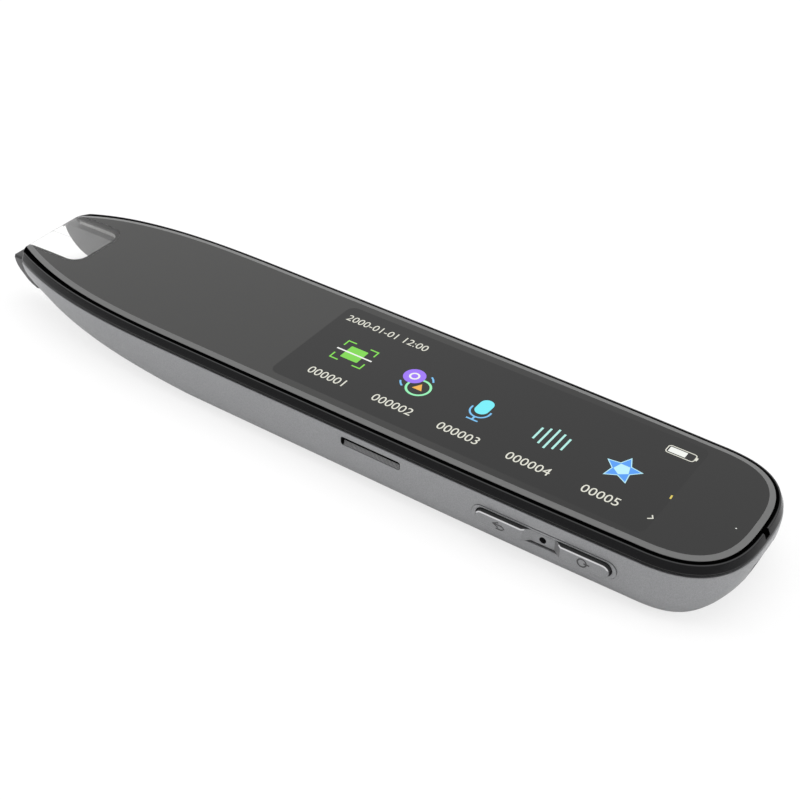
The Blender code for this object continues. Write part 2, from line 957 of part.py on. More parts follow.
def switch_axis_depth():
    """The depth of the tip switch's plunger, in line with the scan tip's post."""
    return tip_web_depth + tip_web_thickness / 2


def make_tip_switch(body_material, plunger_material):
    """The switch that feels the tip being pressed, with its plunger as a piece of its own."""
    front = tip_post_end_station + solder_gap + plunger_reach
    depth = switch_axis_depth()
    body = box(
        (front, front + tip_switch_length),
        (-tip_switch_half_width, tip_switch_half_width),
        (depth - tip_switch_height / 2, depth + tip_switch_height / 2),
    )
    bore_end = front + plunger_inside + tip_travel + slide_gap
    bore = rod(
        at(front - cut_overrun, 0.0, depth), at(bore_end, 0.0, depth), [plunger_radius + solder_gap] * 2
    )
    new_piece("tip_switch", cut(body, bore), body_material)
    plunger_start = at(tip_post_end_station + solder_gap, 0.0, depth)
    plunger = rod(plunger_start, at(front + plunger_inside, 0.0, depth), [plunger_radius] * 2)
    hang_on(new_piece("tip_plunger", plunger, plunger_material), plunger_start)


def hood_top():
    """The depth of the top of the optical tunnel, under the frame's nose deck."""
    return ledge_bottom_depth + seat_gap


def tunnel(front_half_width, back_half_width, inset, stations):
    """A tapered rectangular tunnel, or its bore when inset by the wall."""
    top, bottom = hood_top() + inset, hood_top() + hood_height - inset
    rings = []
    for station, half_width in zip(stations, (front_half_width, back_half_width)):
        half = half_width - inset
        corners = ((-half, top), (half, top), (half, bottom), (-half, bottom))
        rings.append([at(station, across, depth) for across, depth in corners])
    return loft(rings)


def make_scanner(materials):
    """The dark tunnel, the camera with its lens behind it, and the lights under its roof."""
    front = hood_station
    back = hood_station + hood_length
    outer = tunnel(hood_front_half_width, hood_back_half_width, 0.0, (front, back))
    inner = tunnel(
        hood_front_half_width, hood_back_half_width, hood_wall, (front - cut_overrun, back + cut_overrun)
    )
    new_piece("scan_hood", cut(outer, inner), materials["black_plastic"])
    middle_depth = hood_top() + hood_height / 2
    camera = box(
        (camera_station, camera_station + camera_length),
        (-camera_half_width, camera_half_width),
        (middle_depth - camera_height / 2, middle_depth + camera_height / 2),
    )
    new_piece("camera_module", camera, materials["black_plastic"])
    lens_back = camera_station - solder_gap
    lens = rod(
        at(lens_back, 0.0, middle_depth),
        at(lens_back - lens_length, 0.0, middle_depth),
        [lens_radius, lens_radius, lens_radius * lens_front_share],
    )
    new_piece("camera_lens", lens, materials["lens_glass"])
    roof = hood_top() + hood_wall + solder_gap
    board_middle = front + light_board_length / 2 + slide_gap
    board = block(
        board_middle, 0.0, roof, light_board_length, 2 * light_board_half_width, light_board_thickness
    )
    new_piece("light_board", board, materials["board"])
    lamp_depth = roof + light_board_thickness + solder_gap
    for name, side in (("scan_lamp_key_side", -1), ("scan_lamp_far_side", 1)):
        lamp = block(
            board_middle, side * lamp_spacing / 2, lamp_depth, lamp_length, lamp_width, lamp_thickness
        )
        new_piece(name, lamp, materials["lamp"])


def make_display(cell_material, backlight_material, lamp_material):
    """The display cell, its backlight, and the charge lamp's light pipe."""
    stations = (display_station, display_station + display_length)
    acrosses = (-display_half_width, display_half_width)
    cell = box(stations, acrosses, (ledge_top_depth, ledge_top_depth + display_cell_thickness))
    new_piece("display_cell", cell, cell_material)
    backlight = box(stations, acrosses, (backlight_depth, backlight_depth + backlight_thickness))
    new_piece("backlight", backlight, backlight_material)
    pipe = rod(
        at(charge_lamp_station, charge_lamp_across, ledge_top_depth),
        at(charge_lamp_station, charge_lamp_across, ledge_bottom_depth + charge_lamp_length),
        [charge_lamp_radius] * 2,
    )
    new_piece("charge_light_pipe", pipe, lamp_material)


def make_main_board(material):
    """The main board, with shoulders at the tail, room for the speaker and holes for its screws."""
    half = [
        (board_station, 0.0),
        (board_station, board_half_width),
        (board_shoulder_station, board_half_width),
        (board_end_station, board_tail_half_width),
        (board_end_station, 0.0),
    ]
    outline = [(station, -across) for station, across in half]
    outline += [(station, across) for station, across in reversed(half[1:-1])]
    board = plan_prism(outline, (board_depth, board_bottom_depth))
    speaker_room = box(
        (
            speaker_station - speaker_length / 2 - seat_gap,
            speaker_station + speaker_length / 2 + seat_gap,
        ),
        (-board_half_width - cut_overrun, speaker_inner_across() + seat_gap),
        (board_depth - cut_overrun, board_bottom_depth + cut_overrun),
    )
    holes = [
        rod(
            at(station, across, board_depth - cut_overrun),
            at(station, across, board_bottom_depth + cut_overrun),
            [screw_radius + slide_gap] * 2,
        )
        for station, across in boss_places()
    ]
    return new_piece("main_board", cut(board, speaker_room, *holes), material)


def make_board_screws(material):
    """Four small pan-head screws."""
    for number, (station, across) in enumerate(boss_places(), start=1):
        head_bottom = board_depth - solder_gap
        head = rod(
            at(station, across, head_bottom),
            at(station, across, head_bottom - screw_head_height),
            [screw_head_radius, screw_head_radius, screw_head_radius / 2],
        )
        shank = rod(
            at(station, across, head_bottom - screw_head_height / 2),
            at(station, across, head_bottom + screw_length),
            [screw_radius] * 2,
        )
        new_piece(f"board_screw_{number}", join(head, shank), material)


def make_chips(materials):
    """The processor under its shielding can, and the memory chip."""
    top = board_bottom_depth + solder_gap
    side = processor_side
    processor = block(processor_station, chip_across, top, side, side, processor_thickness)
    new_piece("processor", processor, materials["chip"])
    can = block(processor_station, chip_across, top, shield_side, shield_side, shield_height)
    room_side = processor_side + 2 * shield_margin
    room = block(
        processor_station,
        chip_across,
        top - cut_overrun,
        room_side,
        room_side,
        shield_height + cut_overrun - shield_wall,
    )
    new_piece("shield_can", cut(can, room), materials["steel"])
    side = memory_side
    memory = block(memory_station, chip_across, top, side, side, memory_thickness)
    new_piece("memory_chip", memory, materials["chip"])


def make_battery(cell_material, pad_material):
    """The flat battery with soft edges, and the sticky pad that it lies on."""
    pad_bottom = pen_thickness - shell_floor - seat_gap
    pad_top = pad_bottom - battery_pad_thickness
    bottom = pad_top - solder_gap
    top = bottom - battery_thickness
    half_length = (battery_end_station - battery_station) / 2
    half_width = battery_width / 2
    middle = battery_station + half_length
    rings = []
    levels = (
        (0.0, battery_edge_round),
        (battery_edge_share, 0.0),
        (1 - battery_edge_share, 0.0),
        (1.0, battery_edge_round),
    )
    for share, shrink in levels:
        corners = ((-1, -1), (1, -1), (1, 1), (-1, 1))
        rings.append(
            [
                at(
                    middle + side * (half_length - shrink),
                    battery_across + end * (half_width - shrink),
                    top + share * battery_thickness,
                )
                for side, end in corners
            ]
        )
    new_piece("battery", loft(rings), cell_material)
    pad = box(
        (battery_station + battery_edge_round, battery_end_station - battery_edge_round),
        (
            battery_across - half_width + 2 * battery_edge_round,
            battery_across + half_width - 2 * battery_edge_round,
        ),
        (pad_top, pad_bottom),
    )
    new_piece("battery_pad", pad, pad_material)


def mesh_across():
    """The outer face of the speaker mesh, set back inside the slot."""
    return mesh_recess - shell_half_width


def speaker_inner_across():
    """The speaker's face towards the middle of the pen."""
    return -inner_half_width + seat_gap + speaker_width


def make_speaker(body_material, mesh_material):
    """The box speaker on the key side, and the fine mesh that fills the slot before it."""
    top = board_depth
    body = box(
        (speaker_station - speaker_length / 2, speaker_station + speaker_length / 2),
        (speaker_inner_across() - speaker_width, speaker_inner_across()),
        (top, top + speaker_height),
    )
    new_piece("speaker", body, body_material)
    mesh = side_stadium(
        speaker_station,
        slot_depth,
        slot_length - 2 * solder_gap,
        slot_height - 2 * solder_gap,
        (mesh_across(), mesh_across() + mesh_thickness),
        slot_corner_radius - solder_gap,
    )
    new_piece("speaker_mesh", mesh, mesh_material)


def key_lean():
    """How much the shell's flank turns inwards at the keys, and how far in it stands there."""
    length = tail_corner_station - tail_taper_start
    share = (key_station - tail_taper_start) / length
    return math.atan(2 * tail_taper * share / length), tail_taper * share**2


def lean_place():
    """The turn and shift from a straight flank to the flank at the keys."""
    turn, inset = key_lean()
    pivot = at(key_station, -shell_half_width)
    return (
        Matrix.Translation(pivot + Vector((0.0, inset, 0.0)))
        @ Matrix.Rotation(turn, 4, "Z")
        @ Matrix.Translation(-pivot)
    )


def lean(mesh):
    """Turn and shift a mesh made for a straight flank so that it follows the flank at the keys."""
    mesh.transform(lean_place())
    return mesh


def key_rise(along):
    """How far the key bar's face stands out of the shell, at a place along it from its middle."""
    share = min(max((abs(along) - saddle_half_length) / saddle_ramp, 0.0), 1.0)
    return -saddle_sink + (key_proud + saddle_sink) * share


def key_outline(inset):
    """Half heights of the key bar at places along it, with extra places on the saddle's ramps."""
    shape = stadium(key_length - 2 * inset, key_height - 2 * inset)
    middle = [
        side * along for side in (-1, 1) for along in (saddle_half_length, saddle_half_length + saddle_ramp)
    ]
    half = len(shape) // 2
    flat = [(along, key_height / 2 - inset) for along in sorted(middle)]
    return shape[:half] + flat + shape[half:]


def key_flange_across():
    """The outer face of the key bar's flange, inside the wall."""
    return -inner_half_width + key_rock_play


def key_back_across():
    """The back of the key bar's flange."""
    return key_flange_across() + key_flange_thickness


def make_key_bar(material):
    """The rocker key: two proud pads joined by a low saddle, a flange behind, and two lugs."""
    turned = key_edge_round * key_edge_turn_share
    levels = ((0.0, None), (0.0, key_edge_round), (turned, turned), (key_edge_round, 0.0))
    rings = []
    for inset, drop in levels:
        ring = []
        for along, half_height in key_outline(inset):
            if drop is None:
                across = key_flange_across() + key_flange_thickness / 2
            else:
                across = -shell_half_width - key_rise(along) + drop
            ring.append((key_station + along, half_height, across))
        rings.append(ring)
    count = len(rings[0])
    points, faces = [], []
    for ring in rings:
        points += [at(station, across, key_depth - half_height) for station, half_height, across in ring]
        points += [at(station, across, key_depth + half_height) for station, half_height, across in ring]
    for level in range(len(rings) - 1):
        upper, lower = 2 * count * level, 2 * count * level + count
        step = 2 * count
        for index in range(count - 1):
            faces.append((upper + index, upper + index + 1, upper + index + 1 + step, upper + index + step))
            faces.append((lower + index, lower + index + step, lower + index + 1 + step, lower + index + 1))
    for base in (0, 2 * count * (len(rings) - 1)):
        for index in range(count - 1):
            faces.append((base + index, base + index + 1, base + count + index + 1, base + count + index))
    bar = mesh_from_open_edges(points, faces)
    flange = side_stadium(
        key_station,
        key_depth,
        key_length + 2 * key_flange_margin,
        key_height + 2 * key_flange_margin,
        (key_flange_across(), key_back_across()),
    )
    lugs = [
        block_across(
            key_station + side * key_lug_arm,
            key_depth,
            (key_back_across() - key_flange_thickness / 2, key_back_across() + key_lug_reach),
            key_lug_length,
            key_lug_height,
        )
        for side in (-1, 1)
    ]
    sound_hole = rod(
        at(key_station, -shell_half_width - cut_overrun, key_depth),
        at(key_station, key_back_across() + cut_overrun, key_depth),
        [sound_hole_radius] * 2,
    )
    key = new_piece("key_bar", lean(cut(join(bar, flange, *lugs), sound_hole)), material)
    return hang_on(key, lean_place() @ at(key_station, fulcrum_tip_across(), key_depth))


def block_across(station, depth, acrosses, length, height):
    """A block that reaches across the pen, centred on a station and a depth."""
    stations = (station - length / 2, station + length / 2)
    return box(stations, acrosses, (depth - height / 2, depth + height / 2))


def fulcrum_tip_across():
    """The crest of the ridge that the key bar rocks on."""
    return key_back_across() + solder_gap


def key_button_across():
    """The crown of the key switches' buttons, just clear of the lugs when the key is pressed home."""
    return key_back_across() + key_lug_reach + seat_gap


def key_board_across():
    """The face of the key board that carries the switches."""
    return key_button_across() + key_button_reach + key_switch_thickness + solder_gap


def make_key_switches(materials):
    """The upright key board with two switches, the fulcrum and the microphone."""
    face = key_board_across()
    board = block_across(
        key_station,
        board_bottom_depth + solder_gap + key_board_height / 2,
        (face, face + key_board_thickness),
        key_board_length,
        key_board_height,
    )
    new_piece("key_board", lean(board), materials["board"])
    for name, side in (("key_switch_front", -1), ("key_switch_rear", 1)):
        station = key_station + side * key_lug_arm
        body_front = key_button_across() + key_button_reach
        body = block_across(
            station,
            key_depth,
            (body_front, body_front + key_switch_thickness),
            key_switch_length,
            key_switch_height,
        )
        button = rod(
            at(station, key_button_across(), key_depth),
            at(station, body_front + key_switch_thickness / 2, key_depth),
            [key_button_radius] * 2,
        )
        new_piece(name, lean(join(body, button)), materials["switch"])
    make_fulcrum(face, materials)


def make_fulcrum(face, materials):
    """The block that the key bar rocks on, hollowed for the microphone behind the sound hole."""
    front = fulcrum_tip_across() + fulcrum_ridge
    height = key_board_height - 2 * seat_gap
    body = block_across(key_station, key_depth, (front, face - solder_gap), fulcrum_length, height)
    ridge = rod(
        at(key_station, front, key_depth - height / 2 + slide_gap),
        at(key_station, front, key_depth + height / 2 - slide_gap),
        [fulcrum_ridge] * 2,
    )
    microphone_front = face - solder_gap - microphone_thickness
    pocket = block_across(
        key_station,
        key_depth,
        (microphone_front - slide_gap, face + cut_overrun),
        microphone_length + 2 * slide_gap,
        microphone_height + 2 * slide_gap,
    )
    sound_bore = rod(
        at(key_station, front - cut_overrun, key_depth),
        at(key_station, microphone_front + cut_overrun, key_depth),
        [sound_hole_radius] * 2,
    )
    new_piece("key_fulcrum", lean(cut(join(body, ridge), pocket, sound_bore)), materials["black_plastic"])
    microphone = block_across(
        key_station,
        key_depth,
        (microphone_front, face - solder_gap),
        microphone_length,
        microphone_height,
    )
    new_piece("microphone", lean(microphone), materials["steel"])


def make_charging_socket(shell_material, tongue_material):
    """The charging socket: a flat steel tube with a contact tongue inside."""
    top, bottom = socket_depths()
    mouth = socket_mouth_station
    back = mouth - socket_length
    tube = rounded_across(socket_half_width, (top, bottom), (back, mouth))
    inner_depths = (top + socket_wall, bottom - socket_wall)
    bore = rounded_across(
        socket_half_width - socket_wall, inner_depths, (back + 2 * socket_wall, mouth + cut_overrun)
    )
    new_piece("charging_socket", cut(tube, bore), shell_material)
    middle = (top + bottom) / 2
    tongue_start = back + 2 * socket_wall + solder_gap
    tongue = box(
        (tongue_start, tongue_start + socket_tongue_length),
        (-socket_tongue_half_width, socket_tongue_half_width),
        (middle - socket_tongue_thickness / 2, middle + socket_tongue_thickness / 2),
    )
    new_piece("socket_tongue", tongue, tongue_material)


def make_antenna(material):
    """The flexible antenna stuck inside the far wall."""
    across = inner_half_width - seat_gap
    strip = block_across(
        antenna_station + antenna_length / 2,
        board_bottom_depth + antenna_height / 2,
        (across - antenna_thickness, across),
        antenna_length,
        antenna_height,
    )
    new_piece("antenna", strip, material)


def make_materials():
    """The finishes of the pieces."""
    return {
        "cover_glass": make_material("cover_glass", (0.05, 0.05, 0.055), 0.05, 0.0, 0.35),
        "gloss_black": make_material("gloss_black", (0.012, 0.012, 0.013), 0.18),
        "grey_paint": make_material("grey_paint", (0.25, 0.25, 0.265), 0.38, 0.6),
        "tip_plastic": make_material("tip_plastic", (0.06, 0.06, 0.062), 0.35),
        "key_paint": make_material("key_paint", (0.25, 0.25, 0.262), 0.36, 0.6),
        "display": make_material("display", (0.02, 0.02, 0.022), 0.1),
        "backlight": make_material("backlight", (0.75, 0.75, 0.76), 0.5),
        "black_plastic": make_material("black_plastic", (0.02, 0.02, 0.02), 0.5),
        "lens_glass": make_material("lens_glass", (0.03, 0.03, 0.06), 0.05),
        "lamp": make_material("lamp", (0.85, 0.8, 0.5), 0.3),
        "board": make_material("board", (0.02, 0.12, 0.05), 0.45),
        "chip": make_material("chip", (0.03, 0.03, 0.032), 0.5),
        "steel": make_material("steel", (0.62, 0.62, 0.63), 0.3, 1.0),
        "screw": make_material("screw", (0.5, 0.5, 0.51), 0.3, 1.0),
        "battery": make_material("battery", (0.45, 0.46, 0.5), 0.4, 0.3),
        "foam": make_material("foam", (0.05, 0.05, 0.05), 0.9),
        "mesh": make_material("mesh", (0.3, 0.3, 0.31), 0.4, 0.8),
        "switch": make_material("switch", (0.12, 0.12, 0.12), 0.45),
        "plunger": make_material("plunger", (0.6, 0.58, 0.5), 0.4),
        "antenna": make_material("antenna", (0.6, 0.35, 0.1), 0.4),
    }


def main():
    """Build every piece of the pen."""
    clear_scene()
    materials = make_materials()
    make_cover_glass(materials["cover_glass"])
    make_bezel_frame(materials["gloss_black"])
    make_lower_shell(materials["grey_paint"])
    make_scan_tip(materials["tip_plastic"])
    make_tip_switch(materials["switch"], materials["plunger"])
    make_scanner(materials)
    make_display(materials["display"], materials["backlight"], materials["lamp"])
    make_main_board(materials["board"])
    make_board_screws(materials["screw"])
    make_chips(materials)
    make_battery(materials["battery"], materials["foam"])
    make_speaker(materials["black_plastic"], materials["mesh"])
    make_key_bar(materials["key_paint"])
    make_key_switches(materials)
    make_charging_socket(materials["steel"], materials["black_plastic"])
    make_antenna(materials["antenna"])


main()
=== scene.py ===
"""Scanning pen with a long glass screen: the looks of its pieces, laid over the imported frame.

A place on the pen is given as a station behind the nose edge of the glass, a distance across the pen and a
depth below the top of the glass. All lengths are in metres.
"""

import math

import bmesh
import bpy
from bpy.props import FloatProperty, FloatVectorProperty, IntProperty, PointerProperty, StringProperty
from mathutils import Matrix, Vector


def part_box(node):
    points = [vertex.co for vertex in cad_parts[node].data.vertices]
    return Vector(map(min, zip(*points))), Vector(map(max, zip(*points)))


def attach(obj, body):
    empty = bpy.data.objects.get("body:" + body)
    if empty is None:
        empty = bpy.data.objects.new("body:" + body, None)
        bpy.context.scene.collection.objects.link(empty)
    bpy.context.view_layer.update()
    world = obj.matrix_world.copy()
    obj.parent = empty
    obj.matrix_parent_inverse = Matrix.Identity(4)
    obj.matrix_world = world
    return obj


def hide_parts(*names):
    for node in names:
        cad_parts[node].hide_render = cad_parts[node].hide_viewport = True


bl_info = {
    "name": "Scanning pen",
    "version": (1, 0, 0),
    "blender": (4, 5, 0),
    "location": "3D View > Sidebar > Scanning Pen",
    "description": "Makes the pieces and finishes of a scanning pen round its packed frame",
    "category": "Add Mesh",
}

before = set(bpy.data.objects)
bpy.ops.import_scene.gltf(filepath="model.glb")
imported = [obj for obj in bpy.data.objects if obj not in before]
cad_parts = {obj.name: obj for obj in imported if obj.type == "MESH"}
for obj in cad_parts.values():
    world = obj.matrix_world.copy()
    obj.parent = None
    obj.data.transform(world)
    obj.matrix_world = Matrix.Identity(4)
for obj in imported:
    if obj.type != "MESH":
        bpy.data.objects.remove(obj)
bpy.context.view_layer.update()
glass_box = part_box("cover_glass")

# Sizes taken from the frame
nose_edge_x = glass_box[0].x
pen_thickness = glass_box[1].z
glass_length = glass_box[1].x - glass_box[0].x
glass_half_width = glass_box[1].y
glass_thickness = glass_box[1].z - glass_box[0].z

# Plan outline of the glass
nose_half_width = 0.0071
nose_flank_length = 0.0500
nose_flank_power = 3.3
nose_corner_radius = 0.0012
nose_corner_steps = 10
nose_form_start = 0.0030
tail_taper = 0.0005
tail_taper_start = glass_length - 0.0550
tail_corner_length = 0.0145
tail_corner_station = glass_length - tail_corner_length
tail_corner_power = 2.8
tail_corner_steps = 40

# Bezel
groove_width = 0.00035
lip_width = 0.0005
lip_depth = 0.00045
nose_flare = 0.00047
nose_flare_length = 0.0360
flange_overhang = 0.0014
flange_top_depth = 0.00180
flange_bottom_depth = 0.00205
ledge_width = 0.0012
ledge_top_depth = 0.0011
tongue_depth = 0.0032
tongue_thickness = 0.0008
nose_deck_start = 0.0012
nose_deck_end = 0.0627
tail_deck_start = 0.1383
deck_inset = 0.0001
window_half_width = 0.00605
window_length = 0.0127
window_corner_radius = 0.0028
window_corner_steps = 16
tail_notch_width = 0.0015
tail_notch_length = 0.0009
nose_leg_first_point = 3
nose_leg_round = 0.0026
nose_leg_end_share = 0.25

# Lower shell
shell_overhang = 0.00148
shell_wall = 0.0013
shell_floor = 0.0012
shell_top_depth = 0.00235
side_fillet = 0.0041
least_wall_height = 0.0001
nose_lift = 0.0032
nose_lift_length = 0.0480
nose_lift_power = 1.2
nose_fillet_height = 0.0090
nose_narrowing_share = 0.35
nose_pull = 0.0082
nose_form_length = 0.0500
tail_fillet_height = 0.0097
tail_pull = 0.0080
tail_pull_length = 0.0160
nose_edge_station = 0.0012
nose_edge_slope = 0.34
mouth_half_width = 0.0078
cavity_station = 0.0152
pen_end_station = glass_length + shell_overhang
shell_half_width = glass_half_width + shell_overhang
inner_half_width = shell_half_width - shell_wall

# Reach of the scan tip in front of the glass
tip_reach = 0.0028

# Keys
key_station = 0.12165
key_depth = 0.0062
key_length = 0.0238
key_height = 0.0024
key_proud = 0.0009
saddle_half_length = 0.0021
saddle_ramp = 0.0014
saddle_sink = 0.0001
key_flange_margin = 0.0005
key_flange_thickness = 0.0006
key_rock_play = 0.0004
key_lug_arm = 0.0095
key_lug_half_length = 0.0010
key_lug_half_height = 0.0006
key_lug_reach = 0.0003
key_rim_height = 0.0001
key_line_width = 0.00012
key_rim_margin = 0.00045
key_rim_end_margin = 0.0009
sound_hole_radius = 0.0006
key_flake_size = 0.00009
slide_gap = 0.0002
seat_gap = 0.0003

# Marks on the keys, with the arrow's paths in steps from its middle
key_mark_width = 0.00028
key_mark_levels = (-0.000006, 0.00002)
key_mark_step = 0.0001
arrow_station = 0.1138
arrow_paths = (((4, -6), (-6, -1), (4, 4)), ((-6, -1), (10, -1), (15, 3), (10, 7), (0, 7)))
ring_station = 0.1290
ring_radius = 0.00075
ring_stem = (0.0003, 0.0013)

# Speaker slot, screws, socket and screen
speaker_station = 0.0889
slot_length = 0.0120
slot_height = 0.0017
slot_corner_radius = 0.0005
slot_depth = 0.00425
mesh_tilt = math.radians(20)
mesh_shift = 0.00022
mesh_drop = 0.00020
mesh_height = 0.00125
# Width and thickness of the black band of painted shadow in the speaker slot
slot_shadow_width = 0.00042
slot_shadow_thickness = 0.00035
socket_half_width = 0.0045
socket_top_depth = 0.0043
socket_height = 0.0032
socket_mouth_station = 0.1496
socket_pocket_length = 0.0036
contact_size = (0.0030, 0.00028, 0.00004)
contact_reach = 0.0034
contact_pitch = 0.00050
contact_lift = 0.00002
contact_columns = 12
board_screw_places = ((0.0410, -0.0098), (0.0410, 0.0098), (0.1402, -0.0080), (0.1402, 0.0080))
screw_radius = 0.0006
screw_hole_gap = 0.0001
screw_head_radius = 0.00119
screw_head_height = 0.0007
screw_head_steps = 6
screw_cross_size = (0.0012, 0.0002, 0.0004)
boss_radius = 0.0018
board_bottom_depth = 0.0042
board_depth = 0.0034
boss_hole_depth = board_depth + 0.0044
screen_start = 0.0646
screen_end = 0.1361
screen_half_width = 0.0119
screen_corner_radius = 0.0016
charge_lamp_place = (0.1470, -0.0025)
charge_hole_radius = 0.0006
charge_dot_radius = 0.00012

# Clear part of the glass, and the screen's layers in its printed top
clear_margin = 0.0009
clear_gap = 0.000004
print_depths = (0.000785, 0.00083)
print_inset = 0.00012
cover_drop = 0.000006
rim_turn_share = 0.08
field_depth = 0.000005
mark_depth = 0.000004
raised_mark_depth = 0.0000025
top_mark_depth = 0.000001
mark_thickness = 0.000004
aim_line_end = 0.0055
aim_line_width = 0.00012

# Places of the screen's pictures and numbers, and the colours of its marks
scan_picture = (0.0739, 0.0001)
exchange_picture = (0.0872, 0.0)
microphone_picture = (0.1004, -0.0005)
wave_picture = (0.1137, -0.0001)
wave_pitch = 0.0013
star_picture = (0.1266, -0.0003)
clock_place = (0.0748, 0.0086)
battery_place = (0.1324, 0.0086)
number_stations = {"000001": 0.0740, "000002": 0.0875, "000003": 0.1006, "000004": 0.1138, "00005": 0.1268}
number_across = -0.0077
digit_height_share = 0.7
mark_colours = {
    "green": (0.22, 0.78, 0.055),
    "page": (0.19, 0.68, 0.05),
    "white": (0.90, 0.92, 0.88),
    "violet": (0.33, 0.16, 0.95),
    "mint": (0.30, 0.92, 0.48),
    "orange": (0.92, 0.45, 0.05),
    "sky": (0.18, 0.55, 0.92),
    "cyan": (0.16, 0.86, 0.95),
    "blue": (0.07, 0.33, 0.93),
    "pale_blue": (0.50, 0.88, 0.98),
    "cream": (0.78, 0.78, 0.68),
    "yellow": (0.75, 0.60, 0.10),
}
wave_colour = (0.45, 0.88, 0.80)

# The nose bends down a little, most at the top
nose_droop = 0.00045
nose_droop_length = 0.0120
nose_droop_depth = 0.0060
nose_droop_limit = 1.1

# Cuts, and how finely surfaces are divided
overrun = 0.0010
smooth_angle = math.radians(32)
same_point = 1e-7
least_width = 1e-9
least_radius = 1e-6
round_steps = 14
edge_steps = 4
arcs_per_edge = 2.2

# Sharp angles, and the size of small roundings
opening_angle = math.radians(50)
tip_edge_angle = math.radians(38)
glass_smooth_angle = math.radians(7)
part_smooth_angle = math.radians(50)
socket_edge_round = 0.00008
tongue_edge_round = 0.0001

# How far a face's direction has to point up, or on the key forwards and out, to get a finish of its own:
# painted highlights on the bezel's and the key's upper edges, a painted reflection on the glass's slope, and
# painted shade on the glass's side, the tip's top and the key's ramps
flange_facing = 0.3
lip_facing = 0.75
rim_facing = 0.3
glass_bottom_facing = -0.5
tip_top_facing = 0.35
key_edge_facing = 0.35
key_front_facing = -0.30
key_ramp_facing = -0.40

# Stage: each lamp's place, size and energy
camera_place = (0.19866, -0.16268, -0.1483)
lamps = {
    "overhead_lamp": ((0.00, 0.10, 0.80), 0.70, 3.0),
    "tail_side_lamp": ((0.60, 0.10, 0.20), 0.35, 1.7),
    "nose_side_lamp": ((-0.60, -0.20, 0.30), 0.40, 1.8),
}
floor_reach = 3.0
floor_drop = 0.00002
white = (1.0, 1.0, 1.0, 1.0)

# Plain finishes that no setting changes, with the values that plain_finish takes
plain_finishes = {
    "dull_black_moulding": ((0.020, 0.020, 0.021), 0.48, 0.10, 0.0005, 0.000004),
    # A flat black without shine: painted shade in the bezel's groove, on the glass's side and along the top
    # of the speaker slot
    "dull_groove_black": ((0.002, 0.002, 0.002), 0.7, 0.10, 0.003, 0.0, 0.0, 0.0, 0.0),
    # A shinier black: painted highlights on the bezel's upper edges
    "shining_black_edge": ((0.012, 0.012, 0.013), 0.14, 0.10, 0.003),
    # Grey on the black frame's walls inside the window: a painted highlight
    "window_lining": ((0.19, 0.186, 0.18), 0.5, 0.06, 0.001),
    "aim_line_print": ((0.42, 0.42, 0.42), 0.6),
    # Darker plastic on the tip's upward faces: painted shade
    "dark_tip_top": ((0.014, 0.014, 0.015), 0.30, 0.10, 0.0005),
    # Darker grey on the key's ramps: painted shade
    "shaded_key_ramp": ((0.10, 0.10, 0.103), 0.5, 0.06, 0.0004),
    "coated_lens": ((0.012, 0.010, 0.030), 0.04, 0.3, 0.001, 0.0, 0.0, 1.0),
    "pale_lamp_resin": ((0.85, 0.82, 0.62), 0.25, 0.04, 0.0004),
    "milky_light_pipe": ((0.80, 0.80, 0.76), 0.3),
    "display_cell_back": ((0.02, 0.02, 0.022), 0.12),
    "white_backlight": ((0.78, 0.78, 0.79), 0.5),
    "dull_chip_case": ((0.030, 0.030, 0.032), 0.55, 0.12, 0.0003, 0.000003),
    "battery_foil": ((0.46, 0.47, 0.50), 0.38, 0.08, 0.003, 0.00003, 0.6),
    "black_foam": ((0.04, 0.04, 0.04), 0.9, 0.2, 0.0004, 0.00002),
    "dark_switch_case": ((0.11, 0.11, 0.112), 0.45, 0.08, 0.0004),
    "pale_plunger": ((0.60, 0.58, 0.50), 0.4, 0.05, 0.0003),
    "copper_film": ((0.62, 0.36, 0.12), 0.36, 0.10, 0.0006, 0.0, 0.4),
}

# Metals by colour and roughness
metal_finishes = {
    "bright_sheet_steel": ((0.60, 0.60, 0.61), 0.26),
    "dark_mesh_steel": ((0.36, 0.36, 0.365), 0.45),
    "plated_screw_steel": ((0.50, 0.50, 0.51), 0.28),
    # Bright metal on the key's painted upper edge: a painted highlight
    "polished_key_edge": ((0.62, 0.62, 0.63), 0.30),
    "gold_contact": ((0.85, 0.60, 0.22), 0.22),
}

# CAD pieces that keep their shape, by finish
dressed_nodes = {
    "dull_black_moulding": ("scan_hood", "camera_module", "key_fulcrum", "speaker"),
    "coated_lens": ("camera_lens",),
    "pale_lamp_resin": ("scan_lamp_key_side", "scan_lamp_far_side"),
    "milky_light_pipe": ("charge_light_pipe",),
    "display_cell_back": ("display_cell",),
    "white_backlight": ("backlight",),
    "dull_chip_case": ("processor", "memory_chip"),
    "bright_sheet_steel": ("shield_can", "microphone"),
    "battery_foil": ("battery",),
    "black_foam": ("battery_pad",),
    "dark_switch_case": ("tip_switch", "key_switch_front", "key_switch_rear"),
    "pale_plunger": ("tip_plunger",),
    "copper_film": ("antenna",),
}


def length_setting(name, description, default):
    """A length that the user can change."""
    return FloatProperty(name=name, description=description, default=default, unit="LENGTH", precision=5)


def angle_setting(name, description, degrees):
    """An angle that the user can change."""
    return FloatProperty(name=name, description=description, default=math.radians(degrees), unit="ROTATION")


def colour_setting(name, description, default):
    """A colour that the user can change."""
    return FloatVectorProperty(name=name, description=description, default=default, size=3, subtype="COLOR")


